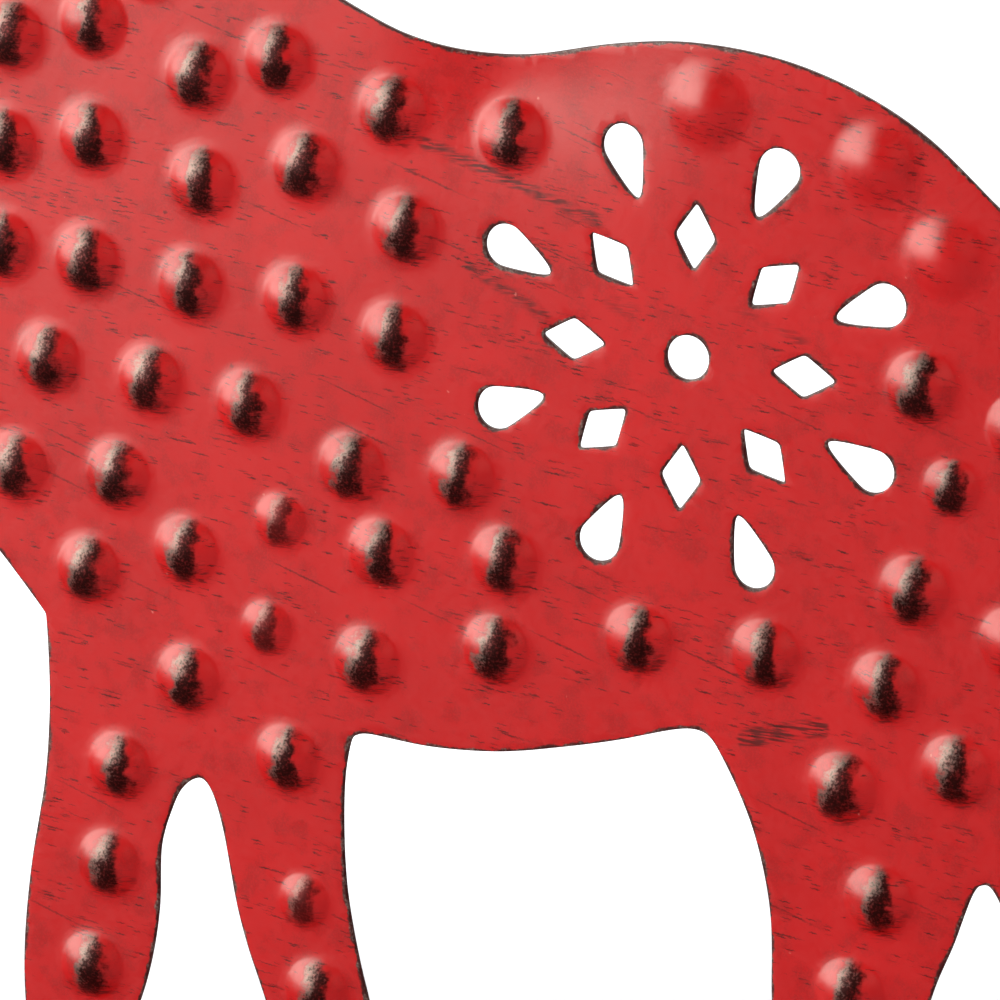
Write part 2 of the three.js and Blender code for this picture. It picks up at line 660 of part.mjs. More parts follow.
function place(name, geometry, material, [x, y, z] = [0, 0, 0]) {
  const bare = geometry.clone();
  bare.deleteAttribute('normal');
  bare.deleteAttribute('uv');
  const merged = mergeVertices(bare, 1e-4);
  merged.computeVertexNormals();
  const mesh = new THREE.Mesh(merged, material());
  mesh.name = name;
  mesh.position.set(x, y, z);
  group.add(mesh);
}

const onFigure = [FIGURE_X, 0, BASE_TOP];
place('body_sheet', figure(), wornRed, onFigure);
place('near_antler', antler(), wornRed, onFigure);
place('far_antler', mirrored(antler()), wornRed, onFigure);
place('near_ear', ear(), wornRed, onFigure);
place('far_ear', mirrored(ear()), wornRed, onFigure);
const riveted = ([x, z]) => [x + FIGURE_X, 0, z + BASE_TOP];
place('antler_rivet_front', rivet(ANTLER_T), iron, riveted(antlerRivets[0]));
place('antler_rivet_rear', rivet(ANTLER_T), iron, riveted(antlerRivets[1]));
place('ear_rivet', rivet(EAR_T), iron, riveted(EAR_AT));
place('base_plate', base(), baseRed, [0, 0, FELT_T]);
const feltSize = [BASE_L, BASE_W].map((size) => size - 2 * FELT_INSET);
place('base_felt', slab(...feltSize, FELT_T, BASE_CORNER_R - FELT_INSET, 0), blackFelt);
Object.entries(TOES).forEach(([leg, toe]) => {
  const at = screwAt(toe);
  place(`base_screw_${leg}`, screw(), zinc, [...at, FELT_T]);
  place(`base_washer_${leg}`, washer(), zinc, [...at, BASE_TOP + SHEET_T]);
  place(`base_nut_${leg}`, nut(), zinc, [...at, BASE_TOP + SHEET_T + WASHER_T]);
});

export default group;
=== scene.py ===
"""Looks of a standing metal moose: red paint rubbed through to dark iron on its domes and edges."""
import logging
import math
from dataclasses import dataclass, field, replace
from enum import Enum
from itertools import groupby
from typing import Callable

import bpy
import numpy as np
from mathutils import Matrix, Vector, geometry, kdtree


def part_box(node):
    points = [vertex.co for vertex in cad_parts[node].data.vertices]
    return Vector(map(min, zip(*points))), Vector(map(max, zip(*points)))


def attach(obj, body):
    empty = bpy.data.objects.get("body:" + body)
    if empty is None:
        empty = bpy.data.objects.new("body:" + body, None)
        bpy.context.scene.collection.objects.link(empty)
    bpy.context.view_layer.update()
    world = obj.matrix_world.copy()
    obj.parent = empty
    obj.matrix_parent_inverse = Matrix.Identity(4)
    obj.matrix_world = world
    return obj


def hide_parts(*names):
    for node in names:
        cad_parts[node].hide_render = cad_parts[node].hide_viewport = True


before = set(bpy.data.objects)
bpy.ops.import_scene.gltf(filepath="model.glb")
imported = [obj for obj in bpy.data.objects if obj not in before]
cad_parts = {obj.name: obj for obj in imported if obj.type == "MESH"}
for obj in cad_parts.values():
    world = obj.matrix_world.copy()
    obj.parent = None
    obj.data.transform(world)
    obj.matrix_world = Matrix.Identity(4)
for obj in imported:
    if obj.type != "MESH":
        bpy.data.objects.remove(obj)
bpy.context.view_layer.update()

log = logging.getLogger("moose")
MM = 0.001
MERGE = 0.001 * MM  # Corners of a solid that lie closer than this are one.
LEVEL = 0.02 * MM  # Points this close to a plane or a line lie on it.
PROUD = 0.1 * MM  # Triangles that rise this far above a face belong to a dome.
TINY = 0.05 * MM  # The least radius that a ring of points is given.

Points = np.ndarray
Profile = list[tuple[float, float]]
Faces = list[tuple[int, ...]]
Object = bpy.types.Object
Socket = bpy.types.NodeSocket
Sockets = dict[str, Socket]
Colour = tuple[float, float, float, float]


class Slot(Enum):
    """The record's material slots."""

    SHEET = "worn_red_sheet"
    ANTLERS = "worn_red_antlers"
    EARS = "worn_red_ears"
    BASE = "base_red"
    RIVET = "rivet_iron"
    FASTENER = "zinc_fastener"
    FELT = "felt"


class Leg(Enum):
    """The four legs, in the order of their toes along the base."""

    LEADING_FORE = "leading_fore"
    TRAILING_FORE = "trailing_fore"
    LEADING_HIND = "leading_hind"
    TRAILING_HIND = "trailing_hind"


class Side(Enum):
    """The moose's two sides. The near one faces -Y."""

    NEAR = 1
    FAR = -1


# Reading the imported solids.


def node_mesh(name: str) -> tuple[Points, Points]:
    """Reads a CAD node with its equal corners merged.

    Args:
        name: the node's name.

    Returns:
        The corners, and the triangles as rows of three corner numbers.
    """
    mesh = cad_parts[name].data
    corners = np.empty(len(mesh.vertices) * 3)
    mesh.vertices.foreach_get("co", corners)
    corners = corners.reshape(-1, 3)
    mesh.calc_loop_triangles()
    triangles = np.empty(len(mesh.loop_triangles) * 3, dtype=int)
    mesh.loop_triangles.foreach_get("vertices", triangles)
    rough = np.round(corners / MERGE).astype(int)
    _, first, same = np.unique(rough, axis=0, return_index=True, return_inverse=True)
    triangles = same.reshape(-1)[triangles].reshape(-1, 3)
    a, b, c = triangles.T
    return corners[first], triangles[(a != b) & (b != c) & (c != a)]


def centre_of(node: str) -> Vector:
    """Returns the middle of a CAD node's box."""
    low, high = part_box(node)
    return (Vector(low) + Vector(high)) / 2


def height_of(node: str) -> float:
    """Returns the height of a CAD node's box."""
    low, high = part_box(node)
    return high.z - low.z


def ease(value: Points, start: float, end: float) -> Points:
    """Returns how far a value has come from start to end, as a smooth share from 0 to 1."""
    share = np.clip((value - start) / (end - start), 0, 1)
    return share**2 * (3 - 2 * share)


def area_of(loop: Points) -> float:
    """Returns the area inside a loop, positive where it runs anticlockwise."""
    a, b = loop, np.roll(loop, -1, axis=0)
    return float(np.sum(a[:, 0] * b[:, 1] - b[:, 0] * a[:, 1]) / 2)


def boundary_loops(triangles: Points) -> list[list[int]]:
    """Traces the edges that only one of the triangles has.

    Args:
        triangles: rows of three corner numbers, all turned the same way.

    Returns:
        Closed loops of corner numbers, in the order of the triangles' edges.
    """
    edges = {(int(t[i]), int(t[(i + 1) % 3])) for t in triangles for i in range(3)}
    after = {a: b for a, b in edges if (b, a) not in edges}
    loops = []
    while after:
        start = next(iter(after))
        here = after.pop(start)
        loop = [start]
        while here != start:
            loop.append(here)
            here = after.pop(here)
        loops.append(loop)
    return loops


@dataclass(frozen=True)
class Dome:
    """A dome pressed into a sheet, placed in the sheet's own plane."""

    at: tuple[float, float]
    radius: float
    height: float
    reach: float = 1.2
    worn: float = 1.0
    fillet: float = 0.17
    foot: float = 0.98

    def rise(self, share: Points) -> Points:
        """Gives the height of the dome's skin.

        Args:
            share: distances from the middle, as shares of the radius.

        Returns:
            Heights above the sheet, with a small fillet round the foot.
        """
        cap = 1 - share**2
        soft = (cap + np.sqrt(cap**2 + self.fillet**2)) / 2
        return self.height * soft * ease(share, self.reach, self.foot)


@dataclass
class Blank:
    """A sheet as it is cut, before it is bent. Its points are [across, up]."""

    outline: Points
    holes: list[Points]
    domes: list[Dome]
    thickness: float


def survey(flat: Points, triangles: Points, front: float, thickness: float) -> Blank:
    """Reads the blank of a pressed sheet from its flattened solid.

    Args:
        flat: corners as [across, up, out of the sheet].
        triangles: rows of three corner numbers.
        front: how far out the sheet's front face lies.
        thickness: the sheet's thickness.

    Returns:
        The blank, with the domes that rise from its front face.
    """
    level = np.abs(flat[:, 2] - front) < LEVEL
    face = triangles[level[triangles].all(axis=1)]
    raised = flat[triangles, 2].max(axis=1) > front + PROUD
    proud = {(int(t[(i + 1) % 3]), int(t[i])) for t in triangles[raised] for i in range(3)}
    outline, holes, domes = np.zeros((0, 2)), [], []
    for loop in boundary_loops(face):
        points = flat[loop, :2]
        if (loop[0], loop[1]) in proud:
            middle = points.mean(axis=0)
            radius = float(np.linalg.norm(points - middle, axis=1).mean())
            near = np.linalg.norm(flat[:, :2] - middle, axis=1) < radius * 0.3
            height = float(flat[near, 2].max()) - front
            domes.append(Dome((float(middle[0]), float(middle[1])), radius, height))
        elif not len(outline) or abs(area_of(points)) > abs(area_of(outline)):
            holes += [outline] if len(outline) else []
            outline = points
        else:
            holes.append(points)
    return Blank(outline, holes, domes, thickness)


# Fine sheet work.


def rounded(loop: Points, cut: float, spacing: float, rounds: int = 3, blunt: float = 32) -> Points:
    """Smooths a loop of straight stretches and spaces its points evenly.

    Args:
        loop: corners of the loop.
        cut: the most that is cut off a stretch beside a sharp corner.
        spacing: the distance between the points that come out.
        rounds: how often the corners are cut.
        blunt: corners that turn by less than this many degrees are cut back freely.

    Returns:
        The evenly spaced points.
    """
    for _ in range(rounds):
        before, after = np.roll(loop, 1, axis=0), np.roll(loop, -1, axis=0)
        came, goes = loop - before, after - loop
        came_l = np.linalg.norm(came, axis=1)
        goes_l = np.linalg.norm(goes, axis=1)
        cosine = np.sum(came * goes, axis=1) / (came_l * goes_l)
        most = np.where(cosine > math.cos(math.radians(blunt)), 1.0, cut)
        back = (np.minimum(came_l / 4, most) / came_l)[:, None]
        ahead = (np.minimum(goes_l / 4, most) / goes_l)[:, None]
        loop = np.stack([loop - came * back, loop + goes * ahead], axis=1).reshape(-1, 2)
    steps = np.linalg.norm(np.roll(loop, -1, axis=0) - loop, axis=1)
    along = np.concatenate([[0], np.cumsum(steps)])
    count = max(16, int(round(along[-1] / spacing)))
    closed = np.vstack([loop, loop[:1]])
    at = np.linspace(0, along[-1], count, endpoint=False)
    return np.stack([np.interp(at, along, closed[:, k]) for k in (0, 1)], axis=1)


def inward(loop: Points) -> Points:
    """Returns unit steps to the left of a loop at each of its points."""
    along = np.roll(loop, -1, axis=0) - np.roll(loop, 1, axis=0)
    side = np.stack([-along[:, 1], along[:, 0]], axis=1)
    return side / np.linalg.norm(side, axis=1)[:, None]


def inside(points: Points, loop: Points) -> Points:
    """Tells which points lie inside a loop.

    Args:
        points: the points.
        loop: the loop's corners.

    Returns:
        One truth value for each point.
    """
    odd = np.zeros(len(points), bool)
    x, z = points.T
    for (ax, az), (bx, bz) in zip(loop, np.roll(loop, -1, axis=0)):
        if az != bz:
            odd ^= ((az > z) != (bz > z)) & (x < (bx - ax) * (z - az) / (bz - az) + ax)
    return odd


def gaps(points: Points, others: Points) -> Points:
    """Returns how far each point lies from the nearest of some others.

    Args:
        points: the points.
        others: the others.

    Returns:
        One distance for each point.
    """
    tree = kdtree.KDTree(len(others))
    for i, (x, z) in enumerate(others):
        tree.insert((x, z, 0), i)
    tree.balance()
    return np.array([tree.find((x, z, 0))[2] for x, z in points])


def level_form(across: Points, up: Points, out: Points) -> Points:
    """Carries flat points to a sheet that stands upright along X."""
    return np.column_stack([across, -out, up])


def no_relief(across: Points, up: Points) -> Points:
    """Leaves a sheet as level as it was cut."""
    return np.zeros(len(across))


@dataclass
class SheetPiece:
    """A fine mesh of one pressed sheet, with rounded edges and round domes."""

    name: str
    blank: Blank
    form: Callable[[Points, Points, Points], Points] = level_form
    relief: Callable[[Points, Points], Points] = no_relief
    extra: Points = field(default_factory=lambda: np.zeros((0, 2)))
    far: bool = False
    edge_radius: float = 0.2 * MM
    spacing: float = 0.42 * MM
    hole_spacing: float = 0.28 * MM
    corner_cut: float = 0.25 * MM
    grid: float = 1.7 * MM
    dome_sides: int = 40
    edge_clearance: float = 0.25 * MM
    dome_clearance: float = 0.1 * MM
    widest_reach: float = 1.3
    tight_reach: float = 1.03
    rings: tuple[float, ...] = (1.07, 1.0, 0.94, 0.87, 0.78, 0.68, 0.57, 0.46, 0.35, 0.23, 0.11)

    def loops(self) -> list[Points]:
        """Smooths the outline and the holes.

        Returns:
            The outline, then the holes, each with the sheet on its left.
        """
        outline = rounded(self.blank.outline, self.corner_cut, self.spacing)
        holes = [rounded(hole, self.corner_cut, self.hole_spacing) for hole in self.blank.holes]
        outline = outline if area_of(outline) > 0 else outline[::-1]
        return [outline] + [hole if area_of(hole) < 0 else hole[::-1] for hole in holes]

    def spread_domes(self, loops: list[Points]) -> list[Dome]:
        """Gives each dome as wide a foot as its neighbours and the sheet's edges leave.

        Args:
            loops: the sheet's outline and holes.

        Returns:
            The domes with their reach.
        """
        rims = np.vstack(loops)
        spread = []
        for dome in self.blank.domes:
            free = np.linalg.norm(rims - np.array(dome.at), axis=1).min()
            free -= self.edge_radius + self.edge_clearance
            for other in self.blank.domes:
                if other is not dome:
                    gap = math.dist(dome.at, other.at) - other.radius - dome.radius
                    free = min(free, dome.radius + gap / 2 - self.dome_clearance)
            reach = min(self.widest_reach, free / dome.radius)
            if reach < self.tight_reach:
                log.warning("%s: dome at %s is tight, reach %.3f", self.name, dome.at, reach)
            spread.append(replace(dome, reach=reach))
        return spread

    def fill(self, rims: list[Points], feet: list[Points]) -> tuple[Points, Points, list[Points]]:
        """Fills the sheet between its rims and the feet of its domes with even triangles.

        Args:
            rims: the inner edge of the outline and of each hole.
            feet: the circle round each dome.

        Returns:
            The points, the triangles, and for each rim and foot its points' numbers.
        """
        fixed = rims + feet
        low, high = rims[0].min(axis=0), rims[0].max(axis=0)
        rows = np.arange(low[1], high[1], self.grid * math.sqrt(3) / 2)
        cells = [
            (x, row) for i, row in enumerate(rows)
            for x in np.arange(low[0] + (i % 2) * self.grid / 2, high[0], self.grid)
        ]
        free = np.array(cells)
        if len(self.extra):
            free = free[gaps(free, self.extra) > self.grid * 0.6]
            free = np.vstack([free, self.extra])
        free = free[inside(free, rims[0])]
        for hole in rims[1:] + feet:
            free = free[~inside(free, hole)]
        free = free[gaps(free, np.vstack(fixed)) > self.spacing * 0.7]
        starts = np.cumsum([0] + [len(loop) for loop in fixed])
        edges = [
            (int(start + i), int(start + (i + 1) % len(loop)))
            for start, loop in zip(starts, fixed) for i in range(len(loop))
        ]
        points = [Vector(p) for p in np.vstack(fixed + [free]) / MM]
        within, same = 1, 1e-5  # Triangles inside the edges only; closer points than this are one.
        made, _, faces, sources, _, _ = geometry.delaunay_2d_cdt(points, edges, [], within, same, True)
        place = np.empty(len(points), dtype=int)
        owner = np.full(len(made), -1)
        for i, found in enumerate(sources):
            place[found] = i
        for k, (start, loop) in enumerate(zip(starts, fixed)):
            owner[place[start:start + len(loop)]] = k
        flat = np.array([[v.x, v.y] for v in made]) * MM
        tri = np.array([list(face) for face in faces])
        own = owner[tri]
        closed = (own[:, 0] > 0) & (own[:, 0] == own[:, 1]) & (own[:, 1] == own[:, 2])
        tri = tri[~closed & inside(flat[tri].mean(axis=1), rims[0])]
        sides = flat[tri[:, 1:]] - flat[tri[:, :1]]
        turned = sides[:, 0, 0] * sides[:, 1, 1] < sides[:, 0, 1] * sides[:, 1, 0]
        tri[turned] = tri[turned][:, ::-1]
        return flat, tri, [place[s:s + len(loop)] for s, loop in zip(starts, fixed)]

    def build(self) -> Object:
        """Builds the mesh, with the attributes that the finishes read.

        Returns:
            The piece.
        """
        loops = self.loops()
        domes = self.spread_domes(loops)
        radius, half = self.edge_radius, self.blank.thickness / 2
        rims = [loop + inward(loop) * radius for loop in loops]
        turns = np.arange(self.dome_sides) / self.dome_sides * 2 * math.pi
        circle = np.stack([np.cos(turns), np.sin(turns)], axis=1)
        feet = [np.array(d.at) + circle * d.radius * d.reach for d in domes]
        flat, tri, numbers = self.fill(rims, feet)

        shape = SheetMesh(loops)
        top = shape.add(flat, half)
        under = shape.add(flat, -half)
        shape.add_faces(np.concatenate([top[tri], under[tri[:, ::-1]]]))
        arc = [math.radians(a) for a in (30, 60, 90)]
        rolled = [(radius * (1 - math.sin(a)), half - radius * (1 - math.cos(a))) for a in arc]
        for loop, own in zip(loops, numbers):
            side = inward(loop)
            rows = [top[own]]
            rows += [shape.add(loop + side * inset, out) for inset, out in rolled]
            rows += [shape.add(loop + side * inset, -out) for inset, out in reversed(rolled)]
            rows.append(under[own])
            for upper, lower in zip(rows, rows[1:]):
                shape.faces += belt(lower, upper)
        chance = np.random.default_rng(len(domes))
        for dome, own in zip(domes, numbers[len(loops):]):
            rings = [r for r in self.rings if r < dome.reach - 0.02]
            mark = float(chance.random())
            shape.add_dome(dome, circle, rings, top[own], half, mark)
            hollow = replace(dome, worn=0.0)
            shape.add_dome(hollow, circle[::-1], rings, under[own][::-1], -half, mark)
        log.info("%s: %d holes, %d domes, %d points", self.name, len(loops) - 1, len(domes),
                 shape.count)
        return shape.finish(self)


class SheetMesh:
    """Gathers the points and faces of a sheet, front and back, and makes the mesh."""

    def __init__(self, loops: list[Points]) -> None:
        """Starts an empty sheet.

        Args:
            loops: the sheet's outline and holes.
        """
        self.cuts = np.vstack(loops)
        self.rows: list[Points] = []
        self.places: list[Points] = []
        self.feet: list[tuple[Points, Points]] = []
        self.faces: Faces = []
        self.count = 0

    def add(self, flat: Points, out: float | Points, place: Points | None = None) -> Points:
        """Adds points.

        Args:
            flat: where they lie in the sheet's plane.
            out: how far out of its middle they lie.
            place: [across, up, wear, mark] on their dome, or nothing off the domes.

        Returns:
            Their numbers.
        """
        self.rows.append(np.column_stack([flat, np.broadcast_to(out, len(flat))]))
        self.places.append(np.zeros((len(flat), 4)) if place is None else place)
        self.count += len(flat)
        return np.arange(self.count - len(flat), self.count)

    def add_faces(self, faces: Points) -> None:
        """Adds faces by their points' numbers."""
        self.faces += [tuple(int(n) for n in face) for face in faces]

    def add_dome(self, dome: Dome, circle: Points, rings: list[float], foot: Points,
                 out: float, mark: float) -> None:
        """Adds one side of a dome's skin.

        Args:
            dome: the dome.
            circle: unit steps round it, anticlockwise as seen from the side that is added.
            rings: its rings as shares of its radius, outside first.
            foot: the numbers of its foot's points.
            out: how far out of the sheet's middle the foot lies.
            mark: a value of chance that sets its wear apart from the others'.
        """
        middle = np.array(dome.at)
        row = foot
        at_foot = np.broadcast_to([0.0, mark], (len(circle), 2))
        self.feet.append((foot, np.column_stack([circle * dome.reach, at_foot])))
        for share in rings:
            near = min(1.0, (dome.reach - share) / (dome.reach - 1)) * dome.worn
            facts = np.broadcast_to([near, mark], (len(circle), 2))
            rise = dome.rise(np.array([share]))
            inner = self.add(middle + circle * dome.radius * share, out + rise,
                             np.column_stack([circle * share, facts]))
            self.faces += belt(row, inner)
            row = inner
        tip = self.add(middle[None, :], out + dome.rise(np.zeros(1)),
                       np.array([[0, 0, dome.worn, mark]]))
        self.add_faces(np.stack([row, np.roll(row, -1), np.repeat(tip, len(row))], axis=1))

    def finish(self, piece: SheetPiece) -> Object:
        """Carries every point to its place and makes the object.

        Args:
            piece: the sheet that is made.

        Returns:
            The finished object.
        """
        across, up, out = np.vstack(self.rows).T
        places = piece.form(across, up, out + piece.relief(across, up))
        faces = self.faces
        if piece.far:
            places = places * np.array([1, -1, 1])
            faces = [face[::-1] for face in faces]
        marks = np.vstack(self.places)
        for foot, facts in self.feet:
            marks[foot] = facts
        made = mesh_object(piece.name, places, faces)
        attribute(made, "dome_place", marks[:, :3])
        attribute(made, "dome_mark", marks[:, 3])
        attribute(made, "edge_gap", gaps(np.column_stack([across, up]), self.cuts) / MM)
        return made


# Meshes of every other kind.


def mesh_object(name: str, points: Points, faces: Faces,
                sharp: float = 50) -> Object:
    """Makes a smooth-shaded object that keeps its sharp edges.

    Args:
        name: the object's name.
        points: its points.
        faces: its faces, as tuples of point numbers.
        sharp: edges that turn by more than this many degrees stay sharp.

    Returns:
        The object, in the scene.
    """
    mesh = bpy.data.meshes.new(name)
    mesh.from_pydata(points.tolist(), [], faces)
    mesh.update()
    mesh.shade_smooth()
    mesh.set_sharp_from_angle(angle=math.radians(sharp))
    made = bpy.data.objects.new(name, mesh)
    bpy.context.scene.collection.objects.link(made)
    return made


def attribute(piece: Object, name: str, values: Points) -> None:
    """Gives a mesh a value, or a vector, at each of its points.

    Args:
        piece: the mesh's object.
        name: the attribute's name.
        values: one row for each point.
    """
    kind, key = ("FLOAT_VECTOR", "vector") if values.ndim > 1 else ("FLOAT", "value")
    made = piece.data.attributes.new(name, kind, "POINT")
    made.data.foreach_set(key, values.ravel())


def revolved(name: str, profile: Callable[[float], Profile], sides: int, ring: bool = False,
             sharp: float = 40) -> Object:
    """Turns a profile about the Z axis. The profile may change as it goes round.

    Args:
        name: the object's name.
        profile: gives the [radius, height] points at an angle, from the bottom up on the outside.
        sides: how many steps go round.
        ring: whether the last point joins the first, instead of both ends closing on the axis.
        sharp: edges that turn by more than this many degrees stay sharp.

    Returns:
        The object.
    """
    turns = [2 * math.pi * i / sides for i in range(sides)]
    rows = np.array([profile(turn) for turn in turns])
    count = rows.shape[1]
    cos, sin = np.cos(turns)[:, None], np.sin(turns)[:, None]
    points = np.stack([rows[..., 0] * cos, rows[..., 0] * sin, rows[..., 1]], axis=2)
    number = np.arange(sides * count).reshape(sides, count)
    faces = []
    for k in range(count if ring else count - 1):
        faces += belt(number[:, k], number[:, (k + 1) % count])
    if not ring:
        faces.append(tuple(int(n) for n in number[::-1, 0]))
        faces.append(tuple(int(n) for n in number[:, -1]))
    return mesh_object(name, points.reshape(-1, 3), faces, sharp)


def cut(body: Object, cutters: list[Object], sharp: float = 40) -> None:
    """Cuts shapes out of a body, and removes them.

    Args:
        body: the body.
        cutters: closed shapes.
        sharp: edges that turn by more than this many degrees stay sharp.
    """
    for cutter in cutters:
        modifier = body.modifiers.new("cut", "BOOLEAN")
        modifier.operation = "DIFFERENCE"
        modifier.solver = "EXACT"
        modifier.object = cutter
    graph = bpy.context.evaluated_depsgraph_get()
    mesh = bpy.data.meshes.new_from_object(body.evaluated_get(graph))
    body.modifiers.clear()
    body.data = mesh
    mesh.shade_smooth()
    mesh.set_sharp_from_angle(angle=math.radians(sharp))
    for cutter in cutters:
        bpy.data.objects.remove(cutter)


def belt(lower: Points, upper: Points) -> Faces:
    """Returns the four-sided faces between two closed rows of point numbers."""
    faces = np.stack([lower, np.roll(lower, -1), np.roll(upper, -1), upper], axis=1)
    return [tuple(int(n) for n in face) for face in faces]


def points_of(piece: Object) -> Points:
    """Returns the places of a mesh's points."""
    flat = np.empty(len(piece.data.vertices) * 3)
    piece.data.vertices.foreach_get("co", flat)
    return flat.reshape(-1, 3)


def carry(piece: Object, points: Points) -> None:
    """Puts a mesh's points where the given rows say."""
    piece.data.vertices.foreach_set("co", points.ravel())
    piece.data.update()


def dress(piece: Object, material: bpy.types.Material, slot: Slot, *nodes: str) -> None:
    """Gives a piece its material and its body, and hides the CAD nodes that it stands for.

    Args:
        piece: the piece.
        material: its material.
        slot: the record's slot that it stands for, which is only logged.
        nodes: the CAD nodes that it replaces.
    """
    piece.data.materials.clear()
    piece.data.materials.append(material)
    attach(piece, "root")
    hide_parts(*nodes)
    log.info("%s: %d points, %s", piece.name, len(piece.data.vertices), slot.value)


# Finishes.


def tone(red: int, green: int, blue: int) -> Colour:
    """Returns a colour that is written as on a screen, 0 to 255, in linear light."""
    linear = [((c / 255 + 0.055) / 1.055) ** 2.4 if c > 10 else c / 255 / 12.92
              for c in (red, green, blue)]
    return (linear[0], linear[1], linear[2], 1.0)


def feed(tree: bpy.types.NodeTree, socket: Socket, value: object) -> None:
    """Links a result to a socket, or sets a plain value on it.

    Args:
        tree: the tree that holds the socket.
        socket: the socket.
        value: the result or the value.
    """
    if isinstance(value, Socket):
        tree.links.new(value, socket)
    else:
        socket.default_value = value


class Nodes:
    """Adds nodes to one node tree and links them."""

    def __init__(self, tree: bpy.types.NodeTree) -> None:
        """Keeps the tree."""
        self.tree = tree

    def add(self, kind: str, inputs: dict[str | int, object] | None = None,
            **settings: object) -> bpy.types.Node:
        """Adds one node.

        Args:
            kind: the node's type, without its usual beginning.
            inputs: for each socket, by name or number, a value or the socket that feeds it.
            **settings: the node's own settings.

        Returns:
            The node.
        """
        node = self.tree.nodes.new("ShaderNode" + kind)
        for key, value in settings.items():
            setattr(node, key, value)
        for key, value in (inputs or {}).items():
            feed(self.tree, node.inputs[key], value)
        return node

    def math(self, operation: str, *values: object) -> Socket:
        """Works out a number from up to three others."""
        return self.add("Math", dict(enumerate(values)), operation=operation).outputs[0]

    def times(self, one: object, other: object) -> Socket:
        """Multiplies two numbers."""
        return self.math("MULTIPLY", one, other)

    def plus(self, one: object, other: object) -> Socket:
        """Adds two numbers."""
        return self.math("ADD", one, other)

    def line(self, value: object, slope: object, level: object) -> Socket:
        """Multiplies a number by a slope and adds a level."""
        return self.math("MULTIPLY_ADD", value, slope, level)

    def stretch(self, point: object, by: object) -> Socket:
        """Multiplies a vector by another."""
        return self.add("VectorMath", {0: point, 1: by}, operation="MULTIPLY").outputs[0]

    def shift(self, point: object, by: object, onto: object) -> Socket:
        """Multiplies a vector by another and adds a third."""
        inputs = {0: point, 1: by, 2: onto}
        return self.add("VectorMath", inputs, operation="MULTIPLY_ADD").outputs[0]

    def turned(self, point: object, axis: str, angle: float) -> Socket:
        """Turns a place about an axis."""
        inputs = {"Vector": point, "Angle": angle}
        return self.add("VectorRotate", inputs, rotation_type=axis).outputs[0]

    def cells(self, point: object, scale: object) -> tuple[Socket, list[Socket]]:
        """Scatters points, and gives the distance to the nearest and its three values of chance."""
        cell = self.add("TexVoronoi", {"Vector": point, "Scale": scale}).outputs
        return cell["Distance"], list(self.add("SeparateColor", {0: cell["Color"]}).outputs)

    def step(self, value: object, low: object, high: object, bottom: float = 0,
             top: float = 1) -> Socket:
        """Turns a value smoothly from bottom to top as it goes from low to high."""
        inputs = {0: value, 1: low, 2: high, 3: bottom, 4: top}
        return self.add("MapRange", inputs, interpolation_type="SMOOTHSTEP").outputs[0]

    def noise(self, point: object, scale: float | Socket, detail: float = 2,
              stretch: tuple[float, float, float] | None = None) -> Socket:
        """Draws noise of some number of lumps per millimetre, which may be stretched.

        Args:
            point: the place.
            scale: lumps to the millimetre.
            detail: finer layers of noise.
            stretch: what the place is multiplied by along each axis.

        Returns:
            The noise, about 0 to 1.
        """
        if stretch:
            point = self.stretch(point, stretch)
        inputs = {"Vector": point, "Scale": scale, "Detail": detail}
        return self.add("TexNoise", inputs).outputs[0]

    def shake(self, point: object, scale: float, detail: float) -> Socket:
        """Draws noise as a vector, for shifting places."""
        inputs = {"Vector": point, "Scale": scale, "Detail": detail}
        return self.add("TexNoise", inputs).outputs["Color"]

    def mix(self, share: object, first: object, second: object) -> Socket:
        """Mixes two colours."""
        return self.add("Mix", {0: share, 6: first, 7: second}, data_type="RGBA").outputs[2]

    def value(self, name: str) -> Socket:
        """Reads a value that the mesh carries at its points."""
        return self.add("Attribute", attribute_name=name).outputs["Fac"]

    def vector(self, name: str) -> Socket:
        """Reads a vector that the mesh carries at its points."""
        return self.add("Attribute", attribute_name=name).outputs["Vector"]

    def effect(self, effect: "Effect", **inputs: object) -> bpy.types.Node:
        """Places a shared effect, with this material's own values.

        Args:
            effect: the effect.
            **inputs: what feeds its sockets, by their names in lower case.

        Returns:
            The node.
        """
        node = self.tree.nodes.new("ShaderNodeGroup")
        node.node_tree = effect.tree()
        for key, value in inputs.items():
            feed(self.tree, node.inputs[key.replace("_", " ").capitalize()], value)
        return node


class Kind(Enum):
    """The kinds of socket that an effect has."""

    NUMBER = "NodeSocketFloat"
    VECTOR = "NodeSocketVector"


@dataclass(frozen=True)
class Effect:
    """A shader node group that several finishes share. It is built once."""

    name: str = "effect"
    takes: tuple[tuple[str, Kind, float], ...] = ()
    gives: tuple[str, ...] = ()

    def draw(self, nodes: Nodes, given: Sockets) -> list[Socket]:
        """Draws the inside of the group.

        Args:
            nodes: adds nodes to the group.
            given: the group's inputs by name.

        Returns:
            What feeds each output, in order.
        """
        raise NotImplementedError

    def tree(self) -> bpy.types.NodeTree:
        """Builds the group on its first use.

        Returns:
            The group.
        """
        found = bpy.data.node_groups.get(self.name)
        if found:
            return found
        tree = bpy.data.node_groups.new(self.name, "ShaderNodeTree")
        for name, kind, value in self.takes:
            socket = tree.interface.new_socket(name, in_out="INPUT", socket_type=kind.value)
            if kind is Kind.NUMBER:
                socket.default_value = value
        for name in self.gives:
            tree.interface.new_socket(name, in_out="OUTPUT", socket_type=Kind.NUMBER.value)
        entry, leave = tree.nodes.new("NodeGroupInput"), tree.nodes.new("NodeGroupOutput")
        given = {name: entry.outputs[name] for name, _, _ in self.takes}
        for name, result in zip(self.gives, self.draw(Nodes(tree), given)):
            tree.links.new(result, leave.inputs[name])
        return tree


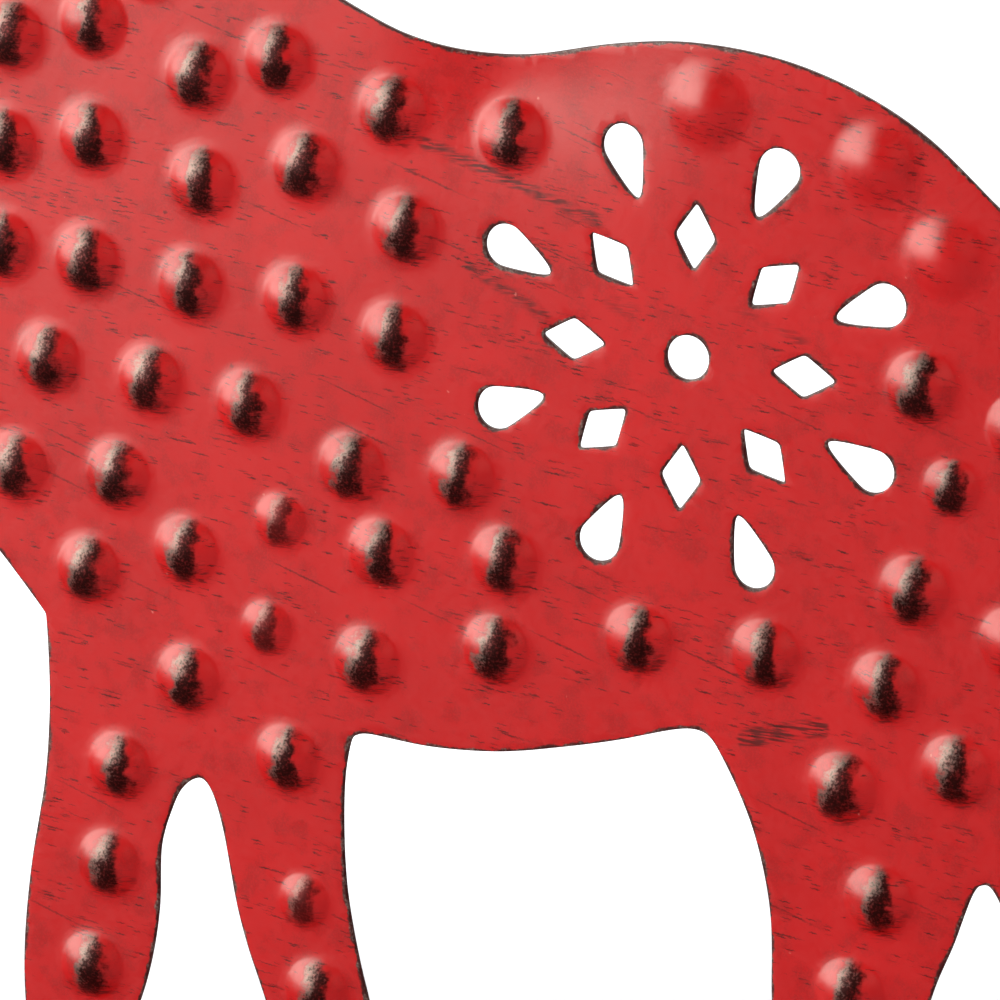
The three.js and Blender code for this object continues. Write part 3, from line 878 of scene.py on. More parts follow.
@dataclass(frozen=True)
class BrushStrokes(Effect):
    """Dry brush marks of dark wax, drawn across the paint and slightly downhill."""

    name: str = "brush strokes"
    takes: tuple = (("Point", Kind.VECTOR, 0), ("Amount", Kind.NUMBER, 0.5))
    gives: tuple = ("Mask",)
    downhill: tuple[float, float] = (7, 19)
    drift: tuple[float, float, float] = (1.3, 0.3, 0.55)
    dash: tuple[float, float, float] = (0.4, 0.4, 3.3)
    stroke: tuple[float, float, float] = (0.14, 0.3, 2.4)
    hair: tuple[float, float, float] = (0.05, 0.2, 1.8)

    def marks(self, nodes: Nodes, line: object, cells: tuple[float, float, float], size: float,
              share: object) -> Socket:
        """Draws flat marks of one kind, at most one in each cell of a loose pattern.

        Args:
            nodes: adds nodes to the group.
            line: the place, with its first axis along the strokes.
            cells: cells to the millimetre along each axis.
            size: half the length of a long mark, in cells.
            share: the share of the cells that hold a mark.

        Returns:
            The mask.
        """
        distance, chance = nodes.cells(nodes.stretch(line, cells), 1.0)
        half = nodes.line(chance[1], size * 0.6, size * 0.4)
        mark = nodes.step(distance, half, nodes.times(half, 0.4))
        depth = nodes.line(chance[2], 0.5, 0.5)
        there = nodes.times(depth, nodes.math("LESS_THAN", chance[0], share))
        return nodes.times(mark, there)

    def draw(self, nodes: Nodes, given: Sockets) -> list[Socket]:
        """Draws dashes in clusters, longer strokes in bands, and a few hairlines.

        Args:
            nodes: adds nodes to the group.
            given: the group's inputs by name.

        Returns:
            The mask.
        """
        point = given["Point"]
        shake = nodes.shake(point, 2.6, 3)
        level, slanted = [
            nodes.shift(shake, self.drift, nodes.turned(point, "Y_AXIS", math.radians(-turn)))
            for turn in self.downhill
        ]
        cluster = nodes.step(nodes.noise(slanted, 1, 2, (0.12, 0.1, 0.3)), 0.54, 0.66)
        band = nodes.step(nodes.noise(slanted, 1, 2, (0.02, 0.03, 0.2)), 0.5, 0.66)
        amount = given["Amount"]
        spread = nodes.times(amount, nodes.line(cluster, 1.6, nodes.line(band, 0.7, 0.05)))
        dashes = self.marks(nodes, level, self.dash, 0.5, spread)
        spread = nodes.times(amount, nodes.line(band, 0.8, 0.05))
        strokes = self.marks(nodes, level, self.stroke, 0.48, spread)
        broken = nodes.step(nodes.noise(level, 1, 3, (0.8, 0.5, 5.0)), 0.4, 0.54)
        strokes = nodes.times(strokes, broken)
        spread = nodes.times(amount, nodes.line(band, 0.4, 0.1))
        hairs = self.marks(nodes, slanted, self.hair, 0.4, spread)
        hairs = nodes.times(hairs, nodes.line(broken, 0.6, 0.35))
        return [nodes.math("MAXIMUM", dashes, nodes.math("MAXIMUM", strokes, hairs))]


@dataclass(frozen=True)
class RubbedDomes(Effect):
    """The upright patch that is rubbed through the paint on the top of each dome."""

    name: str = "rubbed domes"
    takes: tuple = (("Place", Kind.VECTOR, 0), ("Mark", Kind.NUMBER, 0.5),
                    ("Point", Kind.VECTOR, 0))
    gives: tuple = ("Bare", "Smear", "Grains and highlight")
    lean: tuple[float, float] = (0.2, -0.04)
    aside: tuple[float, float] = (-0.12, 0.1)
    widening: float = -0.1
    stoutness: float = 0.1
    length: tuple[float, float] = (1.18, -0.08)

    def draw(self, nodes: Nodes, given: Sockets) -> list[Socket]:
        """Draws the patch, which leans a little, widens downwards and has a streaky fringe.

        Args:
            nodes: adds nodes to the group.
            given: the group's inputs by name.

        Returns:
            The bare metal, the wax beside it, and the metal's pale grains, which carry a painted
            highlight towards the patch's left and top.
        """
        x, z, worn = nodes.add("SeparateXYZ", {0: given["Place"]}).outputs
        point, mark = given["Point"], given["Mark"]
        streaks = nodes.noise(point, 1, 3, (0.6, 0.6, 4.2))
        grain = nodes.noise(point, 2.8, 3)
        lump = nodes.line(nodes.noise(point, 0.42, 2), 0.7, -0.35)
        middle = nodes.line(z, nodes.line(mark, *self.lean), nodes.line(mark, *self.aside))
        side = nodes.math("SUBTRACT", nodes.plus(x, lump), middle)
        low = nodes.step(z, 0.2, -0.7)
        swell = nodes.line(nodes.noise(point, 0.6, 2), 0.36, 0.12)
        wide = nodes.line(z, self.widening, nodes.line(mark, self.stoutness, swell))
        across = nodes.math("POWER", nodes.math("DIVIDE", side, wide), 2)
        along = nodes.math("POWER", nodes.line(z, *self.length), 4)
        off = nodes.plus(across, along)
        ragged = nodes.times(nodes.math("SUBTRACT", streaks, 0.5), nodes.line(low, 1.8, 1.4))
        ragged = nodes.plus(ragged, nodes.line(grain, 1.4, -0.7))
        bare = nodes.step(nodes.plus(off, ragged), 2.1, 0.2)
        bare = nodes.times(bare, nodes.step(grain, 0.75, 0.45, 0.5, 0.9))
        lines = nodes.times(nodes.step(streaks, 0.5, 0.62), nodes.step(off, 6, 1.2))
        halo = nodes.times(nodes.step(off, 2.8, 0.8), nodes.step(side, 0.3, -0.3, 0.3, 0.5))
        smear = nodes.math("MAXIMUM", nodes.times(lines, low), halo)
        # Painted highlight: pale grains gather towards the left and top of the bare patch, the side
        # that faces the light, over the metal's own speckled grain.
        pale = nodes.line(side, -1.2, nodes.line(z, 0.4, grain))
        grains_and_highlight = nodes.step(pale, 0.55, 1.15)
        return [nodes.times(bare, worn), nodes.times(smear, worn), grains_and_highlight]


@dataclass(frozen=True)
class RubbedEdges(Effect):
    """Paint worn off along the cut edges, in a line of uneven width."""

    name: str = "rubbed edges"
    takes: tuple = (("Gap", Kind.NUMBER, 1), ("Point", Kind.VECTOR, 0),
                    ("Width", Kind.NUMBER, 0.4))
    gives: tuple = ("Mask",)

    def draw(self, nodes: Nodes, given: Sockets) -> list[Socket]:
        """Draws the worn line.

        Args:
            nodes: adds nodes to the group.
            given: the group's inputs by name.

        Returns:
            The mask.
        """
        slow = nodes.noise(given["Point"], 0.22, 2)
        width = nodes.times(nodes.step(slow, 0.3, 0.75, 0.35, 1.9), given["Width"])
        fine = nodes.line(nodes.noise(given["Point"], 1.6, 2), 0.7, -0.35)
        gap = nodes.plus(given["Gap"], fine)
        return [nodes.step(gap, width, nodes.times(width, 0.45))]


@dataclass(frozen=True)
class Specks(Effect):
    """Scattered specks of uneven shape."""

    name: str = "specks"
    takes: tuple = (("Point", Kind.VECTOR, 0), ("Spacing", Kind.NUMBER, 3),
                    ("Share", Kind.NUMBER, 0.3))
    gives: tuple = ("Mask",)

    def draw(self, nodes: Nodes, given: Sockets) -> list[Socket]:
        """Draws a speck in some of the cells of a loose pattern.

        Args:
            nodes: adds nodes to the group.
            given: the group's inputs by name.

        Returns:
            The mask.
        """
        point = nodes.shift(nodes.shake(given["Point"], 1.8, 2), (0.9, 0.9, 0.9), given["Point"])
        distance, chance = nodes.cells(point, nodes.math("DIVIDE", 1, given["Spacing"]))
        size = nodes.line(chance[1], 0.09, 0.035)
        spot = nodes.step(distance, size, nodes.times(size, 0.4))
        there = nodes.math("LESS_THAN", chance[0], given["Share"])
        return [nodes.times(spot, there)]


@dataclass(frozen=True)
class Mottle(Effect):
    """Slow clouds and fine grain in a sprayed or brushed coat."""

    name: str = "mottle"
    takes: tuple = (("Point", Kind.VECTOR, 0), ("Cloud size", Kind.NUMBER, 20),
                    ("Grain size", Kind.NUMBER, 0.7))
    gives: tuple = ("Cloud", "Grain")

    def draw(self, nodes: Nodes, given: Sockets) -> list[Socket]:
        """Draws both.

        Args:
            nodes: adds nodes to the group.
            given: the group's inputs by name.

        Returns:
            The clouds and the grain, each from 0 to 1.
        """
        slow = nodes.math("DIVIDE", 1, given["Cloud size"])
        cloud = nodes.noise(given["Point"], slow, 3)
        fast = nodes.math("DIVIDE", 1, given["Grain size"])
        return [nodes.step(cloud, 0.3, 0.7), nodes.noise(given["Point"], fast, 3)]


BRUSH_STROKES = BrushStrokes()
RUBBED_DOMES = RubbedDomes()
RUBBED_EDGES = RubbedEdges()
SPECKS = Specks()
MOTTLE = Mottle()


@dataclass(frozen=True)
class Finish:
    """A material. Its pattern is shifted by its own offset, so that no two pieces match."""

    name: str
    offset: tuple[float, float, float] = (0, 0, 0)

    def shade(self, nodes: Nodes, point: Socket, shader: bpy.types.Node) -> None:
        """Feeds the shader's sockets.

        Args:
            nodes: adds nodes to the material.
            point: the place on the object, in millimetres.
            shader: the Principled BSDF.
        """
        raise NotImplementedError

    def material(self) -> bpy.types.Material:
        """Builds the material on its first use.

        Returns:
            The material.
        """
        found = bpy.data.materials.get(self.name)
        if found:
            return found
        made = bpy.data.materials.new(self.name)
        made.use_nodes = True
        nodes = Nodes(made.node_tree)
        shader = made.node_tree.nodes["Principled BSDF"]
        where = nodes.add("TexCoord").outputs["Object"]
        point = nodes.shift(where, (1 / MM, 1 / MM, 1 / MM), self.offset)
        self.shade(nodes, point, shader)
        return made

    def join(self, nodes: Nodes, shader: bpy.types.Node, **sockets: object) -> None:
        """Links results to the shader's sockets, or sets plain values on them."""
        for key, value in sockets.items():
            feed(nodes.tree, shader.inputs[key.replace("_", " ").title()], value)

    def bump(self, nodes: Nodes, height: object, depth: float) -> Socket:
        """Raises the surface by a height from 0 to 1, times a depth in millimetres."""
        inputs = {"Height": height, "Distance": depth * MM, "Strength": 1.0}
        return nodes.add("Bump", inputs).outputs[0]


@dataclass(frozen=True)
class WornRed(Finish):
    """Satin red paint over dark iron, brushed with dark wax and rubbed through."""

    light: Colour = tone(201, 6, 10)
    deep: Colour = tone(191, 3, 7)
    wax: Colour = tone(46, 9, 8)
    iron: Colour = tone(25, 8, 6)
    # Pale metal grains, which also stand for a painted highlight on the bare patch.
    grit_and_highlight: Colour = tone(150, 145, 136)
    dust: Colour = tone(214, 120, 108)
    strokes: float = 0.65
    edge: float = 0.5
    specks: float = 0.3
    stroke_wax: float = 0.92
    speck_wax: float = 0.62
    smear_wax: float = 0.85
    dust_cover: float = 0.7
    edge_wear: float = 0.9
    bare_metal: float = 0.78
    relief: float = 0.035

    def shade(self, nodes: Nodes, point: Socket, shader: bpy.types.Node) -> None:
        """Lays paint, wax, specks, worn edges and rubbed domes over each other.

        Args:
            nodes: adds nodes to the material.
            point: the place on the object, in millimetres.
            shader: the Principled BSDF.
        """
        cloud, grain = nodes.effect(MOTTLE, point=point, cloud_size=22.0, grain_size=0.8).outputs
        paint = nodes.mix(cloud, self.light, self.deep)
        stain = nodes.effect(MOTTLE, point=point, cloud_size=4.5, grain_size=0.3).outputs
        stained = nodes.step(nodes.times(stain[0], stain[1]), 0.2, 0.6, 0, 0.22)
        paint = nodes.mix(stained, paint, self.wax)
        amount = nodes.plus(nodes.value("brushed"), self.strokes)
        strokes = nodes.effect(BRUSH_STROKES, point=point, amount=amount).outputs[0]
        colour = nodes.mix(nodes.times(strokes, self.stroke_wax), paint, self.wax)
        film = nodes.step(nodes.value("brushed"), 0.9, 2.0, 0, 0.8)
        streaks = nodes.step(nodes.noise(point, 1, 3, (0.3, 0.3, 2.6)), 0.4, 0.58)
        colour = nodes.mix(nodes.times(film, streaks), colour, self.wax)
        specks = nodes.effect(SPECKS, point=point, spacing=3.4, share=self.specks).outputs[0]
        colour = nodes.mix(nodes.times(specks, self.speck_wax), colour, self.wax)
        dust = nodes.effect(SPECKS, point=point, spacing=2.6, share=0.12).outputs[0]
        colour = nodes.mix(nodes.times(dust, self.dust_cover), colour, self.dust)
        bare, smear, grains_and_highlight = nodes.effect(
            RUBBED_DOMES, place=nodes.vector("dome_place"), mark=nodes.value("dome_mark"), point=point
        ).outputs
        colour = nodes.mix(nodes.times(smear, self.smear_wax), colour, self.wax)
        edges = nodes.effect(RUBBED_EDGES, gap=nodes.value("edge_gap"), point=point,
                             width=self.edge).outputs[0]
        rubbed = nodes.math("MAXIMUM", bare, nodes.times(edges, self.edge_wear))
        # Bare metal: dark iron, lightened to pale grit with a painted highlight towards the patch's
        # left and top.
        colour = nodes.mix(rubbed, colour, nodes.mix(grains_and_highlight, self.iron, self.grit_and_highlight))
        gloss = nodes.line(rubbed, 0.06, nodes.step(grain, 0.2, 0.8, 0.3, 0.38))
        height = nodes.times(nodes.math("SUBTRACT", 1, rubbed), 0.5)
        peel = nodes.line(grain, 0.6, height)
        rough = nodes.times(nodes.noise(point, 3.0, 2), nodes.times(rubbed, 0.6))
        normal = self.bump(nodes, nodes.plus(peel, rough), self.relief)
        self.join(nodes, shader, base_color=colour, roughness=gloss, normal=normal,
                  metallic=nodes.times(bare, self.bare_metal))
        shader.inputs["Specular IOR Level"].default_value = 0.85


@dataclass(frozen=True)
class Iron(Finish):
    """Dark iron, hammered and a little polished on its high spots."""

    dark: Colour = tone(52, 47, 43)
    bright: Colour = tone(118, 112, 104)

    def shade(self, nodes: Nodes, point: Socket, shader: bpy.types.Node) -> None:
        """Mixes dark scale and polished spots.

        Args:
            nodes: adds nodes to the material.
            point: the place on the object, in millimetres.
            shader: the Principled BSDF.
        """
        cloud, grain = nodes.effect(MOTTLE, point=point, cloud_size=1.6, grain_size=0.25).outputs
        specks = nodes.effect(SPECKS, point=point, spacing=0.8, share=0.4).outputs[0]
        colour = nodes.mix(cloud, self.dark, self.bright)
        colour = nodes.mix(nodes.times(specks, 0.7), colour, self.dark)
        gloss = nodes.step(grain, 0.2, 0.8, 0.36, 0.6)
        height = nodes.line(cloud, 1.0, nodes.times(grain, 0.3))
        normal = self.bump(nodes, height, 0.06)
        self.join(nodes, shader, base_color=colour, roughness=gloss, normal=normal, metallic=0.85)


@dataclass(frozen=True)
class Zinc(Finish):
    """Zinc plate with fine scratches and a dull bloom."""

    clean: Colour = tone(190, 191, 188)
    dull: Colour = tone(142, 143, 140)

    def shade(self, nodes: Nodes, point: Socket, shader: bpy.types.Node) -> None:
        """Mixes clean plate, bloom and scratches.

        Args:
            nodes: adds nodes to the material.
            point: the place on the object, in millimetres.
            shader: the Principled BSDF.
        """
        cloud, grain = nodes.effect(MOTTLE, point=point, cloud_size=2.4, grain_size=0.3).outputs
        scratch = nodes.step(nodes.noise(point, 1, 2, (1.2, 9, 1.2)), 0.6, 0.7)
        colour = nodes.mix(cloud, self.clean, self.dull)
        colour = nodes.mix(nodes.times(scratch, 0.4), colour, self.dull)
        gloss = nodes.step(grain, 0.2, 0.8, 0.22, 0.42)
        normal = self.bump(nodes, nodes.plus(scratch, grain), 0.01)
        self.join(nodes, shader, base_color=colour, roughness=gloss, normal=normal, metallic=1.0)


@dataclass(frozen=True)
class Felt(Finish):
    """Pressed black wool felt with pale loose fibres."""

    wool: Colour = tone(30, 28, 29)
    fibre: Colour = tone(74, 70, 70)

    def shade(self, nodes: Nodes, point: Socket, shader: bpy.types.Node) -> None:
        """Lays fibres in two directions over mottled wool.

        Args:
            nodes: adds nodes to the material.
            point: the place on the object, in millimetres.
            shader: the Principled BSDF.
        """
        cloud, grain = nodes.effect(MOTTLE, point=point, cloud_size=9.0, grain_size=0.4).outputs
        one = nodes.step(nodes.noise(point, 1, 2, (4.5, 1.1, 3)), 0.56, 0.7)
        turned = nodes.turned(point, "Z_AXIS", 0.9)
        two = nodes.step(nodes.noise(turned, 1, 2, (4.2, 0.9, 3)), 0.57, 0.7)
        fibres = nodes.math("MAXIMUM", one, two)
        share = nodes.line(cloud, 0.12, nodes.times(fibres, 0.65))
        colour = nodes.mix(share, self.wool, self.fibre)
        normal = self.bump(nodes, nodes.plus(fibres, grain), 0.12)
        self.join(nodes, shader, base_color=colour, roughness=0.95, normal=normal)
        shader.inputs["Sheen Weight"].default_value = 0.3
        shader.inputs["Sheen Roughness"].default_value = 0.6


@dataclass(frozen=True)
class WhiteFloor(Finish):
    """The studio's pale floor. The camera sees it white, with a soft shadow near the ornament.

    Reflections show it dark, as a floor that lies outside the lamps' glow.
    """

    near: float = 0.4
    shadow: tuple[float, float] = (120, 330)
    paper: Colour = tone(214, 218, 229)
    mirrored: Colour = tone(60, 60, 59)

    def shade(self, nodes: Nodes, point: Socket, shader: bpy.types.Node) -> None:
        """Adds white for the camera's own rays, and darkens the paper in reflections.

        Args:
            nodes: adds nodes to the material.
            point: the place on the floor, in millimetres.
            shader: the Principled BSDF.
        """
        path = nodes.add("LightPath")
        away = nodes.add("VectorMath", {0: point}, operation="LENGTH").outputs["Value"]
        shown = nodes.step(away, *self.shadow, self.near, 1)
        lift = nodes.times(path.outputs["Is Camera Ray"], shown)
        white = nodes.mix(lift, (0, 0, 0, 1), (1, 1, 1, 1))
        paper = nodes.mix(path.outputs["Is Glossy Ray"], self.paper, self.mirrored)
        self.join(nodes, shader, base_color=paper, emission_color=white, roughness=0.9)
        shader.inputs["Emission Strength"].default_value = 1.0
        shader.inputs["Specular IOR Level"].default_value = 0.0


# The ornament's pieces.


@dataclass(frozen=True)
class Bend:
    """A bend about a level line, where a sheet leans out of the upright."""

    start: float
    radius: float
    lean: float

    def form(self, up: Points, out: Points) -> tuple[Points, Points]:
        """Bends flat points.

        Args:
            up: heights on the blank.
            out: distances in front of the sheet's back face.

        Returns:
            How far forward and how high each point lies.
        """
        turn = np.clip((up - self.start) / self.radius, 0, self.lean)
        beyond = up - self.start - self.radius * turn
        arm = self.radius - out
        forward = self.radius - arm * np.cos(turn) + beyond * np.sin(turn)
        return forward, self.start + arm * np.sin(turn) + beyond * np.cos(turn)

    def flatten(self, forward: Points, height: Points) -> tuple[Points, Points]:
        """Undoes the bend.

        Args:
            forward: how far forward each point lies.
            height: how high it lies.

        Returns:
            Heights on the blank, and distances in front of the sheet's back face.
        """
        rise = height - self.start
        turn = np.clip(np.arctan2(rise, self.radius - forward), 0, self.lean)
        beyond = rise * np.cos(turn) - (self.radius - forward) * np.sin(turn)
        arm = (self.radius - forward) * np.cos(turn) + rise * np.sin(turn)
        return self.start + self.radius * turn + beyond, self.radius - arm


@dataclass(frozen=True)
class Crease:
    """A fold down the middle of a leaf, which deepens from its start to its full angle."""

    start: float = 7.742 * MM
    run: float = 9.667 * MM
    angle: float = math.radians(20)
    soft: float = 0.5 * MM

    def share(self, up: Points) -> Points:
        """Returns the sine of the fold at each height."""
        return np.clip((up - self.start) / self.run, 0, 1) * math.sin(self.angle)

    def form(self, across: Points, up: Points, out: Points) -> tuple[Points, Points]:
        """Folds flat points, with a soft crease.

        Args:
            across: places across the blank.
            up: heights on the blank.
            out: distances in front of its back face.

        Returns:
            Where each point lies across, and how far out.
        """
        share = self.share(up)
        lifted = np.sqrt(across**2 + self.soft**2) - self.soft
        return across * np.sqrt(1 - share**2), out + lifted * share

    def flatten(self, across: Points, up: Points, out: Points) -> tuple[Points, Points]:
        """Undoes a sharp crease.

        Args:
            across: where each point lies across.
            up: heights on the blank.
            out: how far out each point lies.

        Returns:
            Places across the blank, and distances in front of its back face.
        """
        share = self.share(up)
        flat = across / np.sqrt(1 - share**2)
        return flat, out - np.abs(flat) * share


@dataclass(frozen=True)
class Swell:
    """A gentle rise or hollow of the sheet."""

    x: float
    z: float
    spread: float
    height: float


@dataclass(frozen=True)
class Brushed:
    """A stretch of the figure where the dark wax was brushed on more thickly."""

    start: tuple[float, float]
    end: tuple[float, float]
    width: float
    strength: float

    def share(self, x: Points, z: Points) -> Points:
        """Works out how much more of the wax lies at each place.

        Args:
            x: places along X, in millimetres.
            z: their heights, in millimetres.

        Returns:
            Shares of wax, which may pass one.
        """
        a, b = np.array(self.start), np.array(self.end)
        along = b - a
        offset = np.stack([x, z], axis=1) - a
        run = np.clip(offset @ along / (along @ along), 0, 1)
        gap = np.linalg.norm(offset - run[:, None] * along, axis=1)
        return self.strength * np.exp(-(gap / self.width) ** 2)


@dataclass
class MooseFigure:
    """The figure: one sheet with pressed domes, a pierced rosette and four folded hoof tabs."""

    node: str = "body_sheet"
    thickness: float = 0.8 * MM
    bend_outside: float = 1.4 * MM
    bore: float = 1.6 * MM
    bore_sides: int = 24
    tab_slack: float = 0.4 * MM
    bend_rows: int = 8
    bend_step: float = 0.65 * MM
    bend_margins: tuple[float, float] = (0.5 * MM, 0.3 * MM)
    unworn: tuple[tuple[float, float], ...] = ((17.5, 189.5), (42, 183.5), (52, 171.5))
    faint: tuple[tuple[float, float], ...] = ((-47, 124.5), (-49.5, 108.5), (-44, 68.5))
    swells: tuple[Swell, ...] = (
        Swell(-15, 190, 9, -1.4),
        Swell(-3, 192, 13, -1.2),
        Swell(20, 190, 16, 0.35),
        Swell(86, 160, 30, -1.3),
        Swell(-50, 150, 32, 0.25),
        Swell(20, 120, 26, -0.25),
    )
    brushed: tuple[Brushed, ...] = (
        Brushed((-91, 184), (-82, 183), 1.3, 1.0),
        Brushed((-80, 187), (-70, 183), 1.6, 0.5),
        Brushed((-69, 195), (-64, 194), 1.3, 0.6),
        Brushed((-66, 182), (-56, 179.5), 2.0, 0.5),
        Brushed((-54, 184.5), (-48, 182), 1.3, 0.8),
        Brushed((-46, 184.5), (-37, 180), 1.3, 0.6),
        Brushed((-57, 165.5), (-50, 163), 1.3, 0.7),
        Brushed((-25, 181), (2, 172), 1.3, 2.2),
        Brushed((-18, 164), (-6, 158), 1.3, 2.0),
        Brushed((-15, 156), (-3, 153), 2.2, 0.8),
        Brushed((-10, 166), (6, 160), 2.5, 0.7),
        Brushed((4, 161), (20, 157), 2.2, 0.9),
        Brushed((21, 162), (32, 158.5), 1.6, 1.4),
        Brushed((18, 148.5), (46, 147), 1.3, 1.2),
        Brushed((30, 157), (48, 152), 2.2, 0.6),
        Brushed((45, 158), (60, 152), 2.5, 0.5),
        Brushed((50, 143), (60, 141), 1.3, 1.2),
        Brushed((24, 101.2), (35, 104.2), 1.5, 3.2),
        Brushed((-12, 112), (2, 108), 2.5, 0.3),
        Brushed((26, 84), (34, 82), 2.0, 0.7),
        Brushed((36, 83), (50, 78), 3.0, 0.5),
        Brushed((54, 84), (46, 68), 1.6, 0.7),
        Brushed((-67, 105), (-60, 103), 1.3, 0.6),
        Brushed((-10, 99), (2, 98), 1.3, 0.6),
    )
    same_place: float = 2
    faint_wear: float = 0.75
    soft_fillet: float = 0.45
    soft_height: float = 0.85
    waves_from_leg: tuple[float, float] = (30, 70)
    waves_from_head: tuple[float, float] = (-98, -68)
    tabs: list[tuple[float, float]] = field(default_factory=list, init=False)

    def __post_init__(self) -> None:
        """Works out where the tabs bend."""
        self.middle = self.bend_outside - self.thickness / 2
        self.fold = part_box("base_plate")[1].z + self.bend_outside
        self.arc = self.middle * math.pi / 2

    def unfold(self, blank: Blank) -> Blank:
        """Adds the hoof tabs to a blank that ends at their bends.

        Args:
            blank: the blank that was read from the upright part of the figure.

        Returns:
            The whole blank.
        """
        outline = blank.outline
        on = np.abs(outline[:, 1] - self.fold) < LEVEL
        start = int(np.argmin(on))
        outline, on = np.roll(outline, -start, axis=0), np.roll(on, -start)
        flat_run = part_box(self.node)[1].y - self.middle
        foot = self.fold - self.arc - flat_run
        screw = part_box("base_screw_leading_fore")
        hole_y = (screw[0].y + screw[1].y) / 2
        hole_up = self.fold - self.arc - (hole_y - self.middle)
        points: list[Points] = []
        for at_fold, run in groupby(zip(on, outline), key=lambda pair: bool(pair[0])):
            stretch = [point for _, point in run]
            if at_fold:
                left, right = stretch[0], stretch[-1]
                stretch = [left, np.array([left[0], foot]), np.array([right[0], foot]), right]
                self.tabs.append((min(left[0], right[0]), max(left[0], right[0])))
            points += stretch
        turns = np.linspace(0, 2 * math.pi, self.bore_sides, endpoint=False)
        bore = np.stack([np.cos(turns), np.sin(turns)], axis=1) * self.bore
        holes = [np.array([(left + right) / 2, hole_up]) + bore for left, right in self.tabs]
        return replace(blank, outline=np.array(points), holes=blank.holes + holes)

    def relief(self, x: Points, z: Points) -> Points:
        """Gives the sheet the slight waves of hand pressing, and leaves head and hooves level.

        Args:
            x: places along X.
            z: their heights.

        Returns:
            How far out the sheet lies at each place.
        """
        total = np.zeros(len(x))
        for swell in self.swells:
            gap = np.hypot(x / MM - swell.x, z / MM - swell.z) / swell.spread
            total += swell.height * MM * np.exp(-gap**2)
        return total * ease(z / MM, *self.waves_from_leg) * ease(x / MM, *self.waves_from_head)

    def form(self, across: Points, up: Points, out: Points) -> Points:
        """Stands the blank upright and folds its tabs back.

        Args:
            across: places along X.
            up: heights on the blank.
            out: distances in front of the sheet's middle.

        Returns:
            The points' places.
        """
        below = self.fold - up
        tab = np.zeros(len(across), bool)
        for left, right in self.tabs:
            tab |= (across > left - self.tab_slack) & (across < right + self.tab_slack) & (below > 0)
        turn = np.clip(below / self.middle, 0, math.pi / 2)
        beyond = below - self.middle * turn
        arm = self.middle + out
        y = np.where(tab, self.middle - arm * np.cos(turn) + beyond, -out)
        z = np.where(tab, self.fold - arm * np.sin(turn), up)
        return np.column_stack([across, y, z])

    def bend_points(self) -> Points:
        """Lays close rows of points where the tabs bend.

        Returns:
            The points, on the blank.
        """
        rows = [self.fold - self.arc * share for share in np.linspace(-0.1, 1.1, self.bend_rows)]
        start, end = self.bend_margins
        cells = [
            (x, row) for left, right in self.tabs for row in rows
            for x in np.arange(left + start, right - end, self.bend_step)
        ]
        return np.array(cells)

    def build(self) -> Object:
        """Builds the figure in place of its CAD node.

        Returns:
            The figure.
        """
        points, triangles = node_mesh(self.node)
        flat = points[:, [0, 2, 1]] * np.array([1, 1, -1])
        half = self.thickness / 2
        blank = self.unfold(survey(flat, triangles, half, self.thickness))
        blank.domes = [self.wear(dome) for dome in blank.domes]
        piece = SheetPiece("moose_figure", blank, self.form, self.relief, self.bend_points())
        figure = piece.build()
        x, _, z = points_of(figure).T / MM
        attribute(figure, "brushed", sum((b.share(x, z) for b in self.brushed), np.zeros(len(x))))
        return figure

    def wear(self, dome: Dome) -> Dome:
        """Gives a dome the wear of its place. The softest ones have kept their paint.

        Args:
            dome: a dome of the blank.

        Returns:
            The dome as it is made.
        """
        here = (dome.at[0] / MM, dome.at[1] / MM)
        if any(math.dist(here, place) < self.same_place for place in self.unworn):
            height = dome.height * self.soft_height
            return replace(dome, worn=0.0, fillet=self.soft_fillet, height=height)
        if any(math.dist(here, place) < self.same_place for place in self.faint):
            return replace(dome, worn=self.faint_wear)
        return dome

    def dress(self, figure: Object) -> None:
        """Gives the figure its finish."""
        dress(figure, WornRed("worn_red_figure").material(), Slot.SHEET, self.node)


@dataclass
class HeadSheet:
    """A sheet that is riveted to one side of the head and bent outward."""

    side: Side
    kind: str = "sheet"
    slot: Slot = Slot.SHEET
    near_offset: tuple[float, float, float] = (0, 0, 0)
    far_offset: tuple[float, float, float] = (0, 0, 0)
    figure_face: float = 0.4 * MM
    strokes: float = 0.6

    @property
    def node(self) -> str:
        """The CAD node's name."""
        return f"{self.side.name.lower()}_{self.kind}"

    def forward(self, points: Points) -> Points:
        """Returns how far the solid's points lie from the figure's face on this side."""
        return -points[:, 1] * self.side.value - self.figure_face

    def dress(self, piece: Object) -> None:
        """Gives the sheet its finish."""
        offset = self.near_offset if self.side is Side.NEAR else self.far_offset
        finish = WornRed(f"worn_red_{self.node}", offset, strokes=self.strokes)
        dress(piece, finish.material(), self.slot, self.node)


